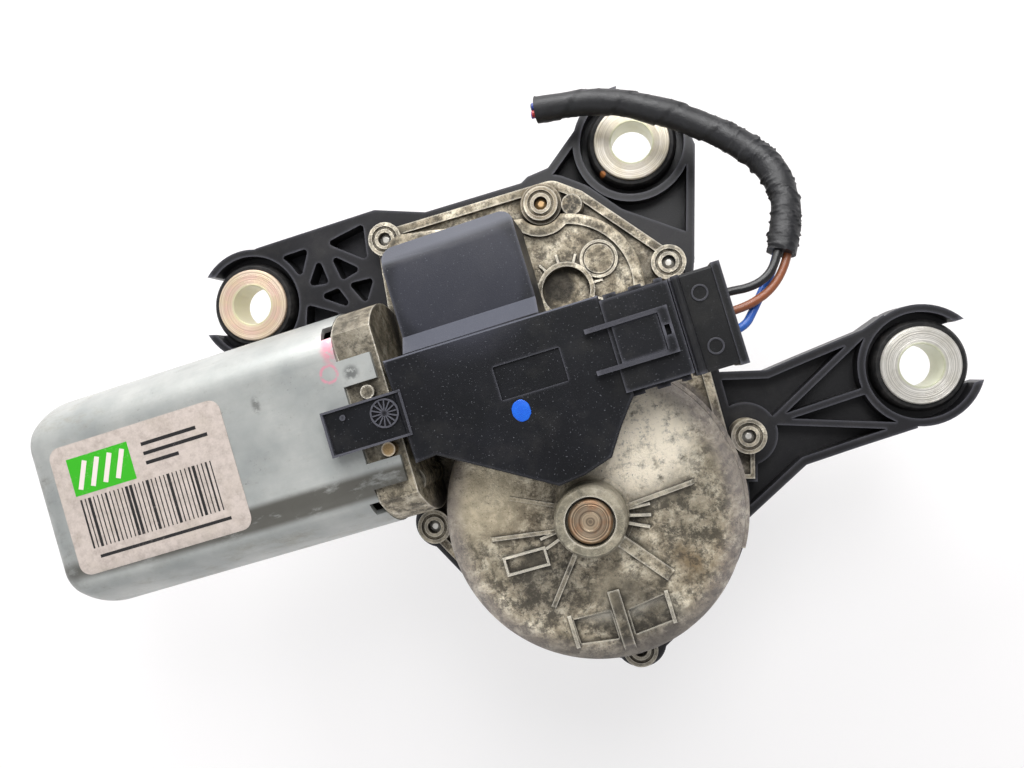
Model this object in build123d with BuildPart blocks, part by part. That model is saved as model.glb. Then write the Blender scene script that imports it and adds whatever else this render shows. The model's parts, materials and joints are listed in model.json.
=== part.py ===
from build123d import *
import math
import os

# Rear wiper motor: a worm-geared motor on a moulded bracket, seen from the back of its gearbox.
# Frame: Z points out of the gearbox's back, X runs along the motor from the closed end of the can
# towards the gearbox, and the origin is on the output shaft, where the three sleeves seat.
# All sizes are in millimetres.

os.makedirs("parts", exist_ok=True)

# ---- places -------------------------------------------------------------------------------------
LEFT_MOUNT = (-86.6, 24.1)
TOP_MOUNT = (27.7, 33.9)
RIGHT_MOUNT = (81.3, -44.9)
WHEEL = (-9.3, -55.5)
MOTOR_Y = -16.8
MOTOR_Z = 25.0
EAR_A = (-42.8, 28.3)
EAR_B = (0.0, 24.3)
EAR_C = (27.2, -0.6)
EAR_D = (33.7, -49.5)
EAR_E = (-52.2, -49.6)
EAR_F = (-8.7, -95.1)
EARS = (EAR_A, EAR_B, EAR_C, EAR_D, EAR_E, EAR_F)

# ---- sleeves, grommets and bracket --------------------------------------------------------------
SLEEVE_LENGTH = 11.0
SLEEVE_BORE_R = 5.5
SLEEVE_TUBE_R = 7.2
SLEEVE_HEAD_R = 10.05
SLEEVE_HEAD = 1.6
GROMMET_R = 12.0
GROMMET_WAIST_R = 9.0
CUP_INNER_R = 13.8
CUP_OUTER_R = 15.8
LEFT_MOUTH_ANGLE = 164.0
TOP_MOUTH_ANGLE = 57.0
RIGHT_MOUTH_ANGLE = 1.0
WALL_FOOT_Z = 1.0
WEB_Z = 3.0
WEB = 2.5
BRACKET_TOP_Z = 10.5
BRACKET_WALL = 2.2
COVER_RIM = 2.7
COVER_SLAB = 3.0
COVER_GROW = 2.5
RIB = 1.8
TUBE_R = 9.0
TUBE_BORE_R = 7.0
TUBE_END_Z = -24.0
TUBE_COLLAR_R = 13.0
TUBE_COLLAR = 2.5
SEAT = 0.02

# ---- casting ------------------------------------------------------------------------------------
GASKET = 0.5
FLANGE_Z = BRACKET_TOP_Z + GASKET
FLANGE = 3.2
EAR_R = 4.5
EAR_TOP_Z = 18.5
EAR_HOLE_R = 1.8
DOME_R = 37.4
DOME_BORE_R = 35.1
DOME_TOP_Z = 33.2
DOME_EDGE_R = 6.0
DOME_CEILING_Z = 31.2
RIB_ROOT_Z = 32.6
HUB_R = 8.7
HUB_TOP_Z = 46.0
AXLE_R = 5.3
HUB_MOUTH_R = 5.9
PLATEAU_TOP_Z = 21.0
PLATEAU_R = 20.2
PLATEAU_CEILING_Z = 18.4
PLATEAU_WALL = 1.9
PLATEAU_RIDGE = 2.9
PLATEAU_SUNK = 0.9
FLANGE_RIDGE = 2.4
FLANGE_RIDGE_HEIGHT = 1.1
TUNNEL_R = 10.4
TUNNEL_BORE_R = 7.6
TUNNEL_END_X = 12.5
PAD_Z = 36.0
PAD = (10.3, 5.4)
LUG = (-49.6, -35.4)
LUG_TOP_Z = 36.5

# ---- motor --------------------------------------------------------------------------------------
CAN_R = 28.0
CAN_FLAT = 19.5
CAN_WALL = 1.5
CAN_END_X = -144.0
CAN_MOUTH_X = -57.0
CAN_RIDGE_R = 9.0
CAN_EDGE_R = 8.0
SPIGOT_X = -47.0
SHAFT_R = 4.0
STACK_R = 17.4
STACK_X = -126.0
STACK_LENGTH = 36.0
SLOTS = 12
MAGNET_R = 18.2
COMMUTATOR_R = 9.5
COMMUTATOR_X = -79.0
COMMUTATOR_LENGTH = 14.0
BRUSH_X = -72.0
RUNNING_GAP = 0.05

# ---- worm gear ----------------------------------------------------------------------------------
GEAR_MODULE = 1.25
TEETH = 53
TOOTH = 1.6
ADDENDUM = 1.1
DEDENDUM = 1.5
FLANK_ANGLE = 20.0
WHEEL_FACE = 8.0
WORM_TURNS = 3
WHEEL_PITCH_R = GEAR_MODULE * TEETH / 2
WORM_PITCH_R = MOTOR_Y - WHEEL[1] - WHEEL_PITCH_R
WORM_LEAD = math.pi * GEAR_MODULE
WHEEL_LOW_Z = MOTOR_Z - WHEEL_FACE / 2

# ---- crank mechanism ----------------------------------------------------------------------------
LEVER_LENGTH = 13.0
LEVER_MID_ANGLE = 170.5
SWEEP = 94.0
PARK_ANGLE = LEVER_MID_ANGLE - SWEEP / 2
LEVER_Z = 11.2
LEVER = 2.5
ROD_Z = 14.1
ROD = 3.0
PIN_R = 3.0
EYE_R = 4.6
SHAFT_OUT_R = 5.0
CONE_Z = -38.0
THREAD_Z = -46.0
THREAD_R = 4.0
SHAFT_TIP_Z = -58.0
SHAFT_TOP_Z = 13.9

# ---- electronics cover, socket and plug ---------------------------------------------------------
COVER_TOP_Z = 48.0
DECK_TOP_Z = 43.0
COVER_WALL = 2.0
SOCKET_LEFT_X = 7.3
SOCKET_RIGHT_X = 23.2
SOCKET_Y = -18.4
SOCKET_WIDTH = 21.8
SOCKET_LOW_Z = 37.0
PLUG_END_X = 35.2
PLUG_WIDTH = 22.8
PLUG_LOW_Z = 37.8
PLUG_TOP_Z = 49.4

# ---- cords --------------------------------------------------------------------------------------
WIRE_D = 2.0
BUNDLE_D = 6.8


def point_at(angle, distance):
    """The plan point at this angle and distance from the output axis."""
    turn = math.radians(angle)
    return (distance * math.cos(turn), distance * math.sin(turn))


PARK_PIN = point_at(PARK_ANGLE, LEVER_LENGTH)
FAR = math.dist(PARK_PIN, WHEEL)
NEAR = math.dist(point_at(PARK_ANGLE + SWEEP, LEVER_LENGTH), WHEEL)
ROD_LENGTH = (FAR + NEAR) / 2
CRANK = (FAR - NEAR) / 2
CRANK_PIN = tuple(w + (p - w) * CRANK / FAR for w, p in zip(WHEEL, PARK_PIN))
print("rod", round(ROD_LENGTH, 2), "crank", round(CRANK, 2), "pins", PARK_PIN, CRANK_PIN)


def finish(builder, label):
    """Name a finished piece and write it."""
    builder.part.label = label
    export_step(builder.part, f"parts/{label}.step")


def motor_plane(x):
    """Section plane across the motor axis: its own x is the frame's Y, its own y the frame's Z."""
    return Plane(origin=(x, MOTOR_Y, MOTOR_Z), x_dir=(0, 1, 0), z_dir=(1, 0, 0))


def can_section(radius, flat):
    """Round motor section with a flat above and below, drawn in the sketch in hand."""
    Circle(radius)
    Rectangle(4 * radius, 2 * flat, mode=Mode.INTERSECT)


def gearbox_outline(grow):
    """Outline that the casting, the gasket and the bracket's cover share, drawn in the sketch in hand."""
    with Locations(EAR_A, EAR_B, EAR_C, EAR_E, EAR_F):
        Circle(3.2 + grow)
    with Locations(WHEEL):
        Circle(DOME_R + 0.8 + grow)
    with Locations((2.8, 25.0)):
        Circle(5.2 + grow)
    with Locations((8.0, 21.6)):
        Circle(4.6 + grow)
    make_hull()
    with Locations(*EARS):
        Circle(EAR_R + grow)
    with Locations((EAR_D[0] - 7, EAR_D[1] - 4)):
        Rectangle(15 + grow, 11 + grow, rotation=-16)


def radial_plane(centre, angle=0):
    """Upright plane through a vertical axis: its own x points outwards at this angle, its own y up."""
    turn = math.radians(angle)
    outwards = (math.cos(turn), math.sin(turn), 0)
    across = (math.sin(turn), -math.cos(turn), 0)
    return Plane(origin=(*centre, 0), x_dir=outwards, z_dir=across)


# ---- hollow inside the gearbox ------------------------------------------------------------------
with BuildPart() as cavity:
    with BuildSketch(radial_plane(WHEEL)):
        with BuildLine():
            Polyline(
                (0, FLANGE_Z - 1),
                (DOME_BORE_R + 0.4, FLANGE_Z - 1),
                (DOME_BORE_R, DOME_CEILING_Z - 2.5),
                (DOME_BORE_R - 2.5, DOME_CEILING_Z),
                (HUB_R + 2, DOME_CEILING_Z + 1.2),
                (0, DOME_CEILING_Z + 1.2),
                close=True,
            )
        make_face()
    revolve(axis=Axis((*WHEEL, 0), (0, 0, 1)))
    with BuildSketch(Plane.XY.offset(FLANGE_Z - 1)):
        Circle(PLATEAU_R - PLATEAU_WALL)
        with Locations(((PARK_PIN[0] + WHEEL[0]) / 2 - 1, -20)):
            Rectangle(26, 44)
    extrude(amount=PLATEAU_CEILING_Z - FLANGE_Z + 1)
    with BuildSketch(motor_plane(-34)):
        Circle(TUNNEL_BORE_R)
    extrude(amount=34 + 4)
    with BuildSketch(Plane.XY.offset(FLANGE_Z - 1)):
        with Locations((WHEEL[0], (WHEEL[1] + MOTOR_Y) / 2 + 4)):
            Rectangle(24, 24)
    extrude(amount=MOTOR_Z + 4.5 - FLANGE_Z + 1)

# ---- die-cast gear housing ----------------------------------------------------------------------
with BuildSketch() as inside_ridge:
    gearbox_outline(-FLANGE_RIDGE)

# plateau over the lever: a rounded ridge round a sunken face, cut back round the boss of ear B
with BuildPart() as plateau:
    with BuildSketch(Plane.XY.offset(FLANGE_Z)):
        Circle(PLATEAU_R)
        with Locations((EAR_A[0] + 4.5, EAR_A[1] - 5.5)):
            Circle(5)
        with Locations((SPIGOT_X + 2, MOTOR_Y + 6), (SPIGOT_X + 2, MOTOR_Y - 8)):
            Circle(3)
        make_hull()
        with Locations(EAR_B):
            Circle(6.2, mode=Mode.SUBTRACT)
    extrude(amount=PLATEAU_TOP_Z - FLANGE_Z)
    fillet(plateau.edges().group_by(Axis.Z)[-1], 1.3)
    with BuildSketch(Plane.XY.offset(PLATEAU_TOP_Z - PLATEAU_SUNK)):
        Circle(PLATEAU_R - PLATEAU_RIDGE)
        with Locations((EAR_A[0] + 4.5, EAR_A[1] - 5.5)):
            Circle(5 - PLATEAU_RIDGE)
        make_hull()
        with Locations(EAR_B):
            Circle(6.2 + PLATEAU_RIDGE, mode=Mode.SUBTRACT)
    extrude(amount=PLATEAU_SUNK, mode=Mode.SUBTRACT)

SUNKEN_Z = 33.9
RIGHT_SECTOR = [(-6.0, -55.6), (16.5, -54.9), (21.0, -60.0), (16.0, -74.0), (5.2, -75.6), (-4.3, -64.5)]
LEFT_SECTOR = [(-12.0, -60.5), (-15.2, -63.6), (-25.4, -75.6), (-36.5, -69.0), (-38.0, -55.2), (-16.0, -57.4)]
DOME_RIBS = [
    ((-1.5, -55.7), (16.5, -54.5), 36.0, 34.8, 1.1),
    ((-4.3, -63.2), (5.2, -75.4), 36.6, 34.2, 3.0),
    ((-15.0, -62.4), (-25.4, -75.4), 36.0, 34.3, 1.2),
    ((-17.4, -57.1), (-35.5, -54.8), 35.9, 34.5, 1.0),
    ((-16.4, -51.2), (-28.5, -46.0), 35.9, 34.3, 1.0),
]
HUB_TICKS = (-5, -16, -28, 190, 201, 246)
BAR_X = -9.8



with BuildPart() as gear_housing:
    # flange with a raised ridge along its edge
    with BuildSketch(Plane.XY.offset(FLANGE_Z)):
        gearbox_outline(0)
    extrude(amount=FLANGE)
    with BuildSketch(Plane.XY.offset(FLANGE_Z)):
        gearbox_outline(-0.2)
        add(inside_ridge.sketch, mode=Mode.SUBTRACT)
    extrude(amount=FLANGE + FLANGE_RIDGE_HEIGHT)
    # dome over the worm wheel
    with BuildSketch(radial_plane(WHEEL)):
        foot = (DOME_R + 0.5, FLANGE_Z)
        shoulder = (DOME_R, DOME_TOP_Z - DOME_EDGE_R)
        brow = (DOME_R - DOME_EDGE_R, DOME_TOP_Z)
        hub_foot = (HUB_R, DOME_TOP_Z + 3.2)
        hub_edge = (HUB_R - 0.8, HUB_TOP_Z)
        with BuildLine():
            Polyline((0, FLANGE_Z), foot, shoulder)
            RadiusArc(shoulder, brow, -DOME_EDGE_R)
            Polyline(brow, (25.0, DOME_TOP_Z + 0.4), (HUB_R + 1.0, DOME_TOP_Z + 2.2), hub_foot)
            Polyline(hub_foot, (HUB_R - 0.2, HUB_TOP_Z - 0.8), hub_edge, (0, HUB_TOP_Z), (0, FLANGE_Z))
        make_face()
    revolve(axis=Axis((*WHEEL, 0), (0, 0, 1)))
    # stepped collar round the dome's outer side
    with BuildSketch(radial_plane(WHEEL, -30)):
        Polygon((36, 20), (38.4, 20), (38.4, 27.2), (37.4, 28.4), (36, 28.4), align=None)
    revolve(axis=Axis((*WHEEL, 0), (0, 0, 1)), revolution_arc=85)
    # sunken sectors of the dome
    for corners in (RIGHT_SECTOR, LEFT_SECTOR):
        with BuildSketch(Plane.XY.offset(SUNKEN_Z)):
            Polygon(*corners, align=None)
            with Locations(WHEEL):
                Circle(HUB_R + 0.3, mode=Mode.SUBTRACT)
        extrude(amount=HUB_TOP_Z - SUNKEN_Z, mode=Mode.SUBTRACT)
    # ribs from the hub, short ticks between them and an empty name frame
    for start, tip, start_z, tip_z, thickness in DOME_RIBS:
        reach = math.dist(start, tip)
        heading = math.degrees(math.atan2(tip[1] - start[1], tip[0] - start[0]))
        with BuildSketch(radial_plane(start, heading)):
            Polygon(
                (0, RIB_ROOT_Z),
                (0, start_z),
                (reach - 0.8, tip_z),
                (reach, tip_z - 1.0),
                (reach, RIB_ROOT_Z),
                align=None,
            )
        extrude(amount=thickness / 2, both=True)
    for angle in HUB_TICKS:
        with BuildSketch(radial_plane(WHEEL, angle)):
            Polygon((HUB_R - 1, 33), (HUB_R - 1, 36.2), (HUB_R + 5.5, 34.6), (HUB_R + 5.5, 33), align=None)
        extrude(amount=0.35, both=True)
    with BuildSketch(Plane.XY.offset(SUNKEN_Z - 1)):
        with Locations((-28.2, -62.3)):
            Rectangle(11.0, 4.8)
            Rectangle(9.8, 3.6, mode=Mode.SUBTRACT)
    extrude(amount=1.8)
    # two shallow pockets near the dome's edge, side walls beside them and a bar between them
    for corners in (
        [(-21.3, -79.3), (-11.8, -79.3), (-11.8, -86.6), (-21.2, -85.5)],
        [(-7.6, -80.3), (1.8, -78.9), (2.0, -85.5), (-7.6, -86.6)],
    ):
        with BuildSketch(Plane.XY.offset(32.2)):
            Polygon(*corners, align=None)
        extrude(amount=3, mode=Mode.SUBTRACT)
    for foot_x in (-22.0, 2.4):
        with BuildSketch(Plane.YZ.offset(foot_x)):
            Polygon((-78.0, 32.6), (-78.0, 34.3), (-86.2, 33.8), (-87.4, 31.2), (-84.0, 31.2), align=None)
        extrude(amount=0.45, both=True)
    with BuildSketch(Plane.YZ.offset(BAR_X)):
        Polygon(
            (-74.6, 32.6),
            (-74.6, 34.9),
            (-88.6, 33.9),
            (-92.2, 30.2),
            (-93.4, EAR_TOP_Z - 1),
            (-93.4, FLANGE_Z + 1),
            (-91.4, FLANGE_Z + 1),
            (-91.4, 29.0),
            (-87.0, 31.6),
            align=None,
        )
    extrude(amount=1.45, both=True)
    add(plateau.part)
    # worm tunnel with its pad for the cover
    with BuildSketch(motor_plane(SPIGOT_X - 1)):
        Circle(TUNNEL_R)
        with Locations((0, (PAD_Z - MOTOR_Z) / 2)):
            Rectangle(11, PAD_Z - MOTOR_Z)
        with Locations((0, -6)):
            Rectangle(2 * TUNNEL_R, 12)
    extrude(amount=TUNNEL_END_X - SPIGOT_X + 1)
    # end shield that closes the can
    with BuildSketch(motor_plane(CAN_MOUTH_X)):
        can_section(CAN_R - 0.3, CAN_FLAT - CAN_WALL)
    extrude(amount=SPIGOT_X - CAN_MOUTH_X)
    # lug and two rough bosses on the end shield
    with BuildSketch(Plane.XY.offset(FLANGE_Z)):
        with Locations(LUG):
            Circle(3.5)
    extrude(amount=LUG_TOP_Z - FLANGE_Z)
    with BuildSketch(Plane.XY.offset(PAD_Z)):
        with Locations((-51.6, -11.4), (-50.6, -26.0)):
            Circle(1.7)
    extrude(amount=CAN_FLAT + 0.6 - PAD_Z + MOTOR_Z)
    # ears, with a stepped ring round ear B
    with BuildSketch(Plane.XY.offset(FLANGE_Z)):
        with Locations(*EARS):
            Circle(EAR_R)
    extrude(amount=EAR_TOP_Z - FLANGE_Z)
    with Locations((*EAR_B, FLANGE_Z)):
        Cone(6.6, 5.4, 6.2, align=(Align.CENTER, Align.CENTER, Align.MIN))
    with BuildSketch(Plane.XY.offset(EAR_TOP_Z - 0.5)):
        with Locations(*EARS):
            Circle(3.5)
            Circle(2.7, mode=Mode.SUBTRACT)
    extrude(amount=1, mode=Mode.SUBTRACT)
    # bosses on the plateau: shaft boss with short spokes, round pad, and the small boss beside ear B
    with BuildSketch(Plane.XY.offset(PLATEAU_TOP_Z - PLATEAU_SUNK)):
        Circle(7.4)
    extrude(amount=1.7)
    with BuildSketch(Plane.XY.offset(PLATEAU_TOP_Z - PLATEAU_SUNK)):
        with PolarLocations(8.3, 12):
            Rectangle(2.9, 0.6)
    extrude(amount=0.7)
    with BuildSketch(Plane.XY.offset(PLATEAU_TOP_Z - PLATEAU_SUNK)):
        with Locations(PAD):
            Circle(4.9)
    extrude(amount=1.0)
    with BuildSketch(Plane.XY.offset(PLATEAU_TOP_Z - 0.2)):
        with Locations(PAD):
            Circle(4.2)
            Circle(3.8, mode=Mode.SUBTRACT)
    extrude(amount=1, mode=Mode.SUBTRACT)
    with Locations((7.7, 21.4, FLANGE_Z)):
        Cone(3.4, 2.7, 8.0, align=(Align.CENTER, Align.CENTER, Align.MIN))
    # hollow inside
    add(cavity.part, mode=Mode.SUBTRACT)
    # hub's inner boss, which carries the axle
    with BuildSketch(Plane.XY.offset(DOME_CEILING_Z - 0.2)):
        with Locations(WHEEL):
            Circle(HUB_R + 1.5)
    extrude(amount=3)
    with BuildSketch(Plane.XY.offset(DOME_CEILING_Z - 1)):
        with Locations(WHEEL):
            Circle(AXLE_R)
    extrude(amount=HUB_TOP_Z - DOME_CEILING_Z, mode=Mode.SUBTRACT)
    with BuildSketch(Plane.XY.offset(HUB_TOP_Z - 3)):
        with Locations(WHEEL):
            Circle(HUB_MOUTH_R)
    extrude(amount=4, mode=Mode.SUBTRACT)
    # pocket over the shaft, closed by a floor that stands clear of the rod
    with BuildSketch(Plane.XY.offset(PLATEAU_CEILING_Z - 0.8)):
        Circle(8.0)
    extrude(amount=2.0)
    with BuildSketch(Plane.XY.offset(PLATEAU_CEILING_Z + 0.6)):
        Circle(6.2)
    extrude(amount=4, mode=Mode.SUBTRACT)
    # room behind the end shield, shaft bearing seats and thrust pad seat
    with BuildSketch(motor_plane(CAN_MOUTH_X - 1)):
        can_section(CAN_R - 3.5, CAN_FLAT - CAN_WALL - 2.5)
    extrude(amount=8, mode=Mode.SUBTRACT)
    with BuildSketch(motor_plane(CAN_MOUTH_X)):
        Circle(6.5)
    extrude(amount=24, mode=Mode.SUBTRACT)
    with BuildSketch(motor_plane(0)):
        Circle(5.0)
    extrude(amount=9.9, mode=Mode.SUBTRACT)
    # blind hole of the lug, and screw holes
    with BuildSketch(Plane.XY.offset(LUG_TOP_Z - 5)):
        with Locations(LUG):
            Circle(1.7)
    extrude(amount=6, mode=Mode.SUBTRACT)
    with BuildSketch(Plane.XY.offset(FLANGE_Z - 1)):
        with Locations(*EARS):
            Circle(EAR_HOLE_R)
    extrude(amount=EAR_TOP_Z - FLANGE_Z + 6, mode=Mode.SUBTRACT)

finish(gear_housing, "gear_housing")

# ---- gasket between the casting and the bracket's cover -----------------------------------------
with BuildPart() as gearbox_gasket:
    with BuildSketch(Plane.XY.offset(BRACKET_TOP_Z)):
        gearbox_outline(0)
        with Locations(WHEEL):
            Circle(DOME_BORE_R - 1, mode=Mode.SUBTRACT)
        Circle(PLATEAU_R - PLATEAU_WALL, mode=Mode.SUBTRACT)
        with Locations(((PARK_PIN[0] + WHEEL[0]) / 2 - 1, -20)):
            Rectangle(26, 44, mode=Mode.SUBTRACT)
        with Locations(*EARS):
            Circle(EAR_HOLE_R + 0.4, mode=Mode.SUBTRACT)
        with Locations(((CAN_MOUTH_X + SPIGOT_X) / 2, MOTOR_Y)):
            Rectangle(SPIGOT_X - CAN_MOUTH_X + 0.1, 2 * CAN_R + 1, mode=Mode.SUBTRACT)
    extrude(amount=GASKET)

finish(gearbox_gasket, "gearbox_gasket")

# ---- moulded bracket: gearbox cover with three arms ---------------------------------------------
LEFT_ARM = [
    (-92.2, 38.0),
    (-80.5, 39.2),
    (-45.0, 38.8),
    (-28.0, 32.4),
    (-6.0, 31.4),
    (-24.0, 8.6),
    (-88.0, 8.6),
]
TOP_ARM = [
    (-8.0, 28.6),
    (-5.1, 32.2),
    (-1.6, 34.0),
    (4.4, 34.5),
    (19.8, 46.2),
    (42.6, 33.9),
    (43.4, 28.0),
    (34.2, -2.0),
    (0.0, 0.0),
]
RIGHT_ARM = [
    (20.0, -31.5),
    (31.2, -31.5),
    (43.8, -34.8),
    (53.5, -33.6),
    (70.0, -31.8),
    (76.2, -29.6),
    (76.0, -60.2),
    (61.2, -60.8),
    (46.5, -61.6),
    (27.2, -71.6),
    (10.0, -60.0),
]
LEFT_ARM_POCKETS = [
    [(-74.8, 34.6), (-66.3, 34.6), (-70.6, 27.2)],
    [(-69.3, 24.2), (-64.2, 31.2), (-63.3, 23.2)],
    [(-60.9, 31.0), (-53.3, 24.2), (-59.5, 22.8)],
    [(-61.2, 34.3), (-49.2, 36.2), (-50.9, 26.0)],
    [(-67.6, 20.7), (-61.2, 21.2), (-58.6, 14.2)],
    [(-58.2, 21.5), (-50.5, 20.9), (-54.8, 14.4)],
    [(-71.2, 19.4), (-61.2, 13.2), (-73.6, 12.8)],
]
TOP_ARM_LEDGE = [(10.0, 19.0), (15.0, 21.5), (20.2, 17.6), (35.6, 5.8), (34.6, -1.0), (24.0, -2.0)]
RIBS_NODE = (41.4, -48.2)
RIGHT_ARM_RIBS = [(70.4, -32.6), (66.0, -47.2), (73.0, -58.8)]
MOUNTS = ((LEFT_MOUNT, LEFT_MOUTH_ANGLE), (TOP_MOUNT, TOP_MOUTH_ANGLE), (RIGHT_MOUNT, RIGHT_MOUTH_ANGLE))


def cover_outline(grow):
    """Outline of the cover slab, cut back beside the motor can, drawn in the sketch in hand."""
    gearbox_outline(grow)
    with Locations(EAR_D):
        Circle(EAR_R + grow + 1.5)
    with Locations(((CAN_END_X + SPIGOT_X) / 2, MOTOR_Y)):
        room = 2 * (COVER_GROW - grow)
        Rectangle(SPIGOT_X - CAN_END_X + room + 1.6, 50.8 + room, mode=Mode.SUBTRACT)


def bracket_outline():
    """Outer outline of the bracket: cover, three arms and their cups, drawn in the sketch in hand."""
    gearbox_outline(COVER_GROW)
    for corners in (LEFT_ARM, TOP_ARM, RIGHT_ARM):
        Polygon(*corners, align=None)
    for centre, angle in MOUNTS:
        with Locations(centre):
            Circle(CUP_OUTER_R)
    with Locations(EAR_D):
        Circle(EAR_R + 4)
    with Locations(((CAN_END_X + SPIGOT_X) / 2, MOTOR_Y)):
        Rectangle(SPIGOT_X - CAN_END_X + 1.6, 50.8, mode=Mode.SUBTRACT)


with BuildSketch() as cover_core:
    cover_outline(COVER_GROW - BRACKET_WALL / 2)
with BuildSketch() as cover_hollow:
    cover_outline(COVER_GROW - COVER_RIM)
with BuildSketch() as cover_wall:
    cover_outline(COVER_GROW)
    add(cover_hollow.sketch, mode=Mode.SUBTRACT)

with BuildPart() as mounting_bracket:
    # upright walls: one round the whole outline and one round the hollow under the cover
    with BuildSketch(Plane.XY.offset(WALL_FOOT_Z)):
        bracket_outline()
        offset(amount=-BRACKET_WALL, mode=Mode.SUBTRACT)
        add(cover_wall.sketch)
    extrude(amount=BRACKET_TOP_Z - WALL_FOOT_Z)
    # web of the arms and cover slab under the casting, both ending inside the walls
    with BuildSketch(Plane.XY.offset(WEB_Z)):
        bracket_outline()
        add(cover_core.sketch, mode=Mode.SUBTRACT)
    extrude(amount=WEB)
    with BuildSketch(Plane.XY.offset(BRACKET_TOP_Z - COVER_SLAB)):
        add(cover_core.sketch)
    extrude(amount=COVER_SLAB)
    # stiffening ring and ribs under the worm wheel
    with BuildSketch(Plane.XY.offset(WEB_Z)):
        with Locations(WHEEL):
            Circle(13)
            Circle(13 - RIB, mode=Mode.SUBTRACT)
            with PolarLocations(24.5, 8, start_angle=22.5):
                Rectangle(25, RIB)
    extrude(amount=BRACKET_TOP_Z - COVER_SLAB - WEB_Z)
    # flat ribbed top of the left arm, pierced by triangular pockets
    with BuildSketch(Plane.XY.offset(WEB_Z + WEB)):
        Polygon(*LEFT_ARM, align=None)
    extrude(amount=BRACKET_TOP_Z - WEB_Z - WEB)
    for corners in LEFT_ARM_POCKETS:
        with BuildSketch(Plane.XY.offset(WEB_Z + 1)) as pocket:
            Polygon(*corners, align=None)
            fillet(pocket.vertices(), 0.9)
        extrude(amount=BRACKET_TOP_Z - WEB_Z, mode=Mode.SUBTRACT)
    # ribs of the right arm, from one node
    for tip in RIGHT_ARM_RIBS:
        with BuildSketch(Plane.XY.offset(WEB_Z + WEB)):
            with BuildLine() as rib_line:
                Line(RIBS_NODE, tip)
            trace(line_width=RIB)
        extrude(amount=BRACKET_TOP_Z - WEB_Z - WEB)
    # ledge of the top arm along the casting's sloping edge
    with BuildSketch(Plane.XY.offset(WEB_Z + WEB)):
        Polygon(*TOP_ARM_LEDGE, align=None)
    extrude(amount=BRACKET_TOP_Z - WEB_Z - WEB)
    # cups round the grommets
    for centre, angle in MOUNTS:
        with BuildSketch(Plane.XY.offset(WALL_FOOT_Z)):
            with Locations(centre):
                Circle(CUP_OUTER_R)
        extrude(amount=BRACKET_TOP_Z - WALL_FOOT_Z)
        with BuildSketch(Plane.XY.offset(WEB_Z + WEB)):
            with Locations(centre):
                Circle(CUP_INNER_R)
        extrude(amount=BRACKET_TOP_Z, mode=Mode.SUBTRACT)
        with BuildSketch(Plane.XY.offset(WALL_FOOT_Z)):
            with Locations(centre):
                Circle(CUP_INNER_R)
        extrude(amount=WEB_Z - WALL_FOOT_Z, mode=Mode.SUBTRACT)
        turn = math.radians(angle)
        mouth = (centre[0] + 15 * math.cos(turn), centre[1] + 15 * math.sin(turn))
        with BuildSketch(Plane.XY):
            with Locations(centre):
                Circle(GROMMET_WAIST_R)
            with Locations(mouth):
                Rectangle(30, 2 * GROMMET_WAIST_R - 1.6, rotation=angle)
        extrude(amount=BRACKET_TOP_Z + 1, mode=Mode.SUBTRACT)
    # seat of the bearing tube, with gussets round it
    with BuildSketch(Plane.XY.offset(TUBE_COLLAR + 0.1)):
        Circle(TUBE_R + RIB)
    extrude(amount=BRACKET_TOP_Z - COVER_SLAB - TUBE_COLLAR + 1)
    for spoke in range(6):
        with BuildSketch(radial_plane((0, 0), 60 * spoke)):
            with BuildLine():
                Polyline((TUBE_R + 1, 2.6), (13.4, 2.6), (20, 6), (20, 8), (TUBE_R + 1, 8), close=True)
            make_face()
        extrude(amount=RIB / 2, both=True)
    with BuildSketch(Plane.XY):
        Circle(TUBE_R + SEAT)
    extrude(amount=BRACKET_TOP_Z + 1, mode=Mode.SUBTRACT)
    with BuildSketch(Plane.XY):
        Circle(TUBE_COLLAR_R + 0.3)
    extrude(amount=TUBE_COLLAR + 0.1, mode=Mode.SUBTRACT)
    # bosses and holes for the screws
    with BuildSketch(Plane.XY.offset(BRACKET_TOP_Z - COVER_SLAB)):
        with Locations(*EARS):
            Circle(EAR_HOLE_R + 0.3)
    extrude(amount=COVER_SLAB, mode=Mode.SUBTRACT)
    with BuildSketch(Plane.XY.offset(WALL_FOOT_Z)):
        with Locations(*EARS):
            Circle(EAR_R + 0.2)
    extrude(amount=BRACKET_TOP_Z - COVER_SLAB - WALL_FOOT_Z, mode=Mode.SUBTRACT)

finish(mounting_bracket, "mounting_bracket")

# ---- bearing tube of the output shaft, set in the cover -----------------------------------------
with BuildPart() as bearing_tube:
    with BuildSketch(Plane.XY.offset(TUBE_END_Z)):
        Circle(TUBE_R)
    extrude(amount=BRACKET_TOP_Z - TUBE_END_Z)
    with BuildSketch(Plane.XY):
        Circle(TUBE_COLLAR_R)
    extrude(amount=TUBE_COLLAR)
    with BuildSketch(Plane.XY.offset(TUBE_END_Z)):
        Circle(TUBE_BORE_R)
    extrude(amount=BRACKET_TOP_Z - TUBE_END_Z, mode=Mode.SUBTRACT)
finish(bearing_tube, "bearing_tube")

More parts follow.
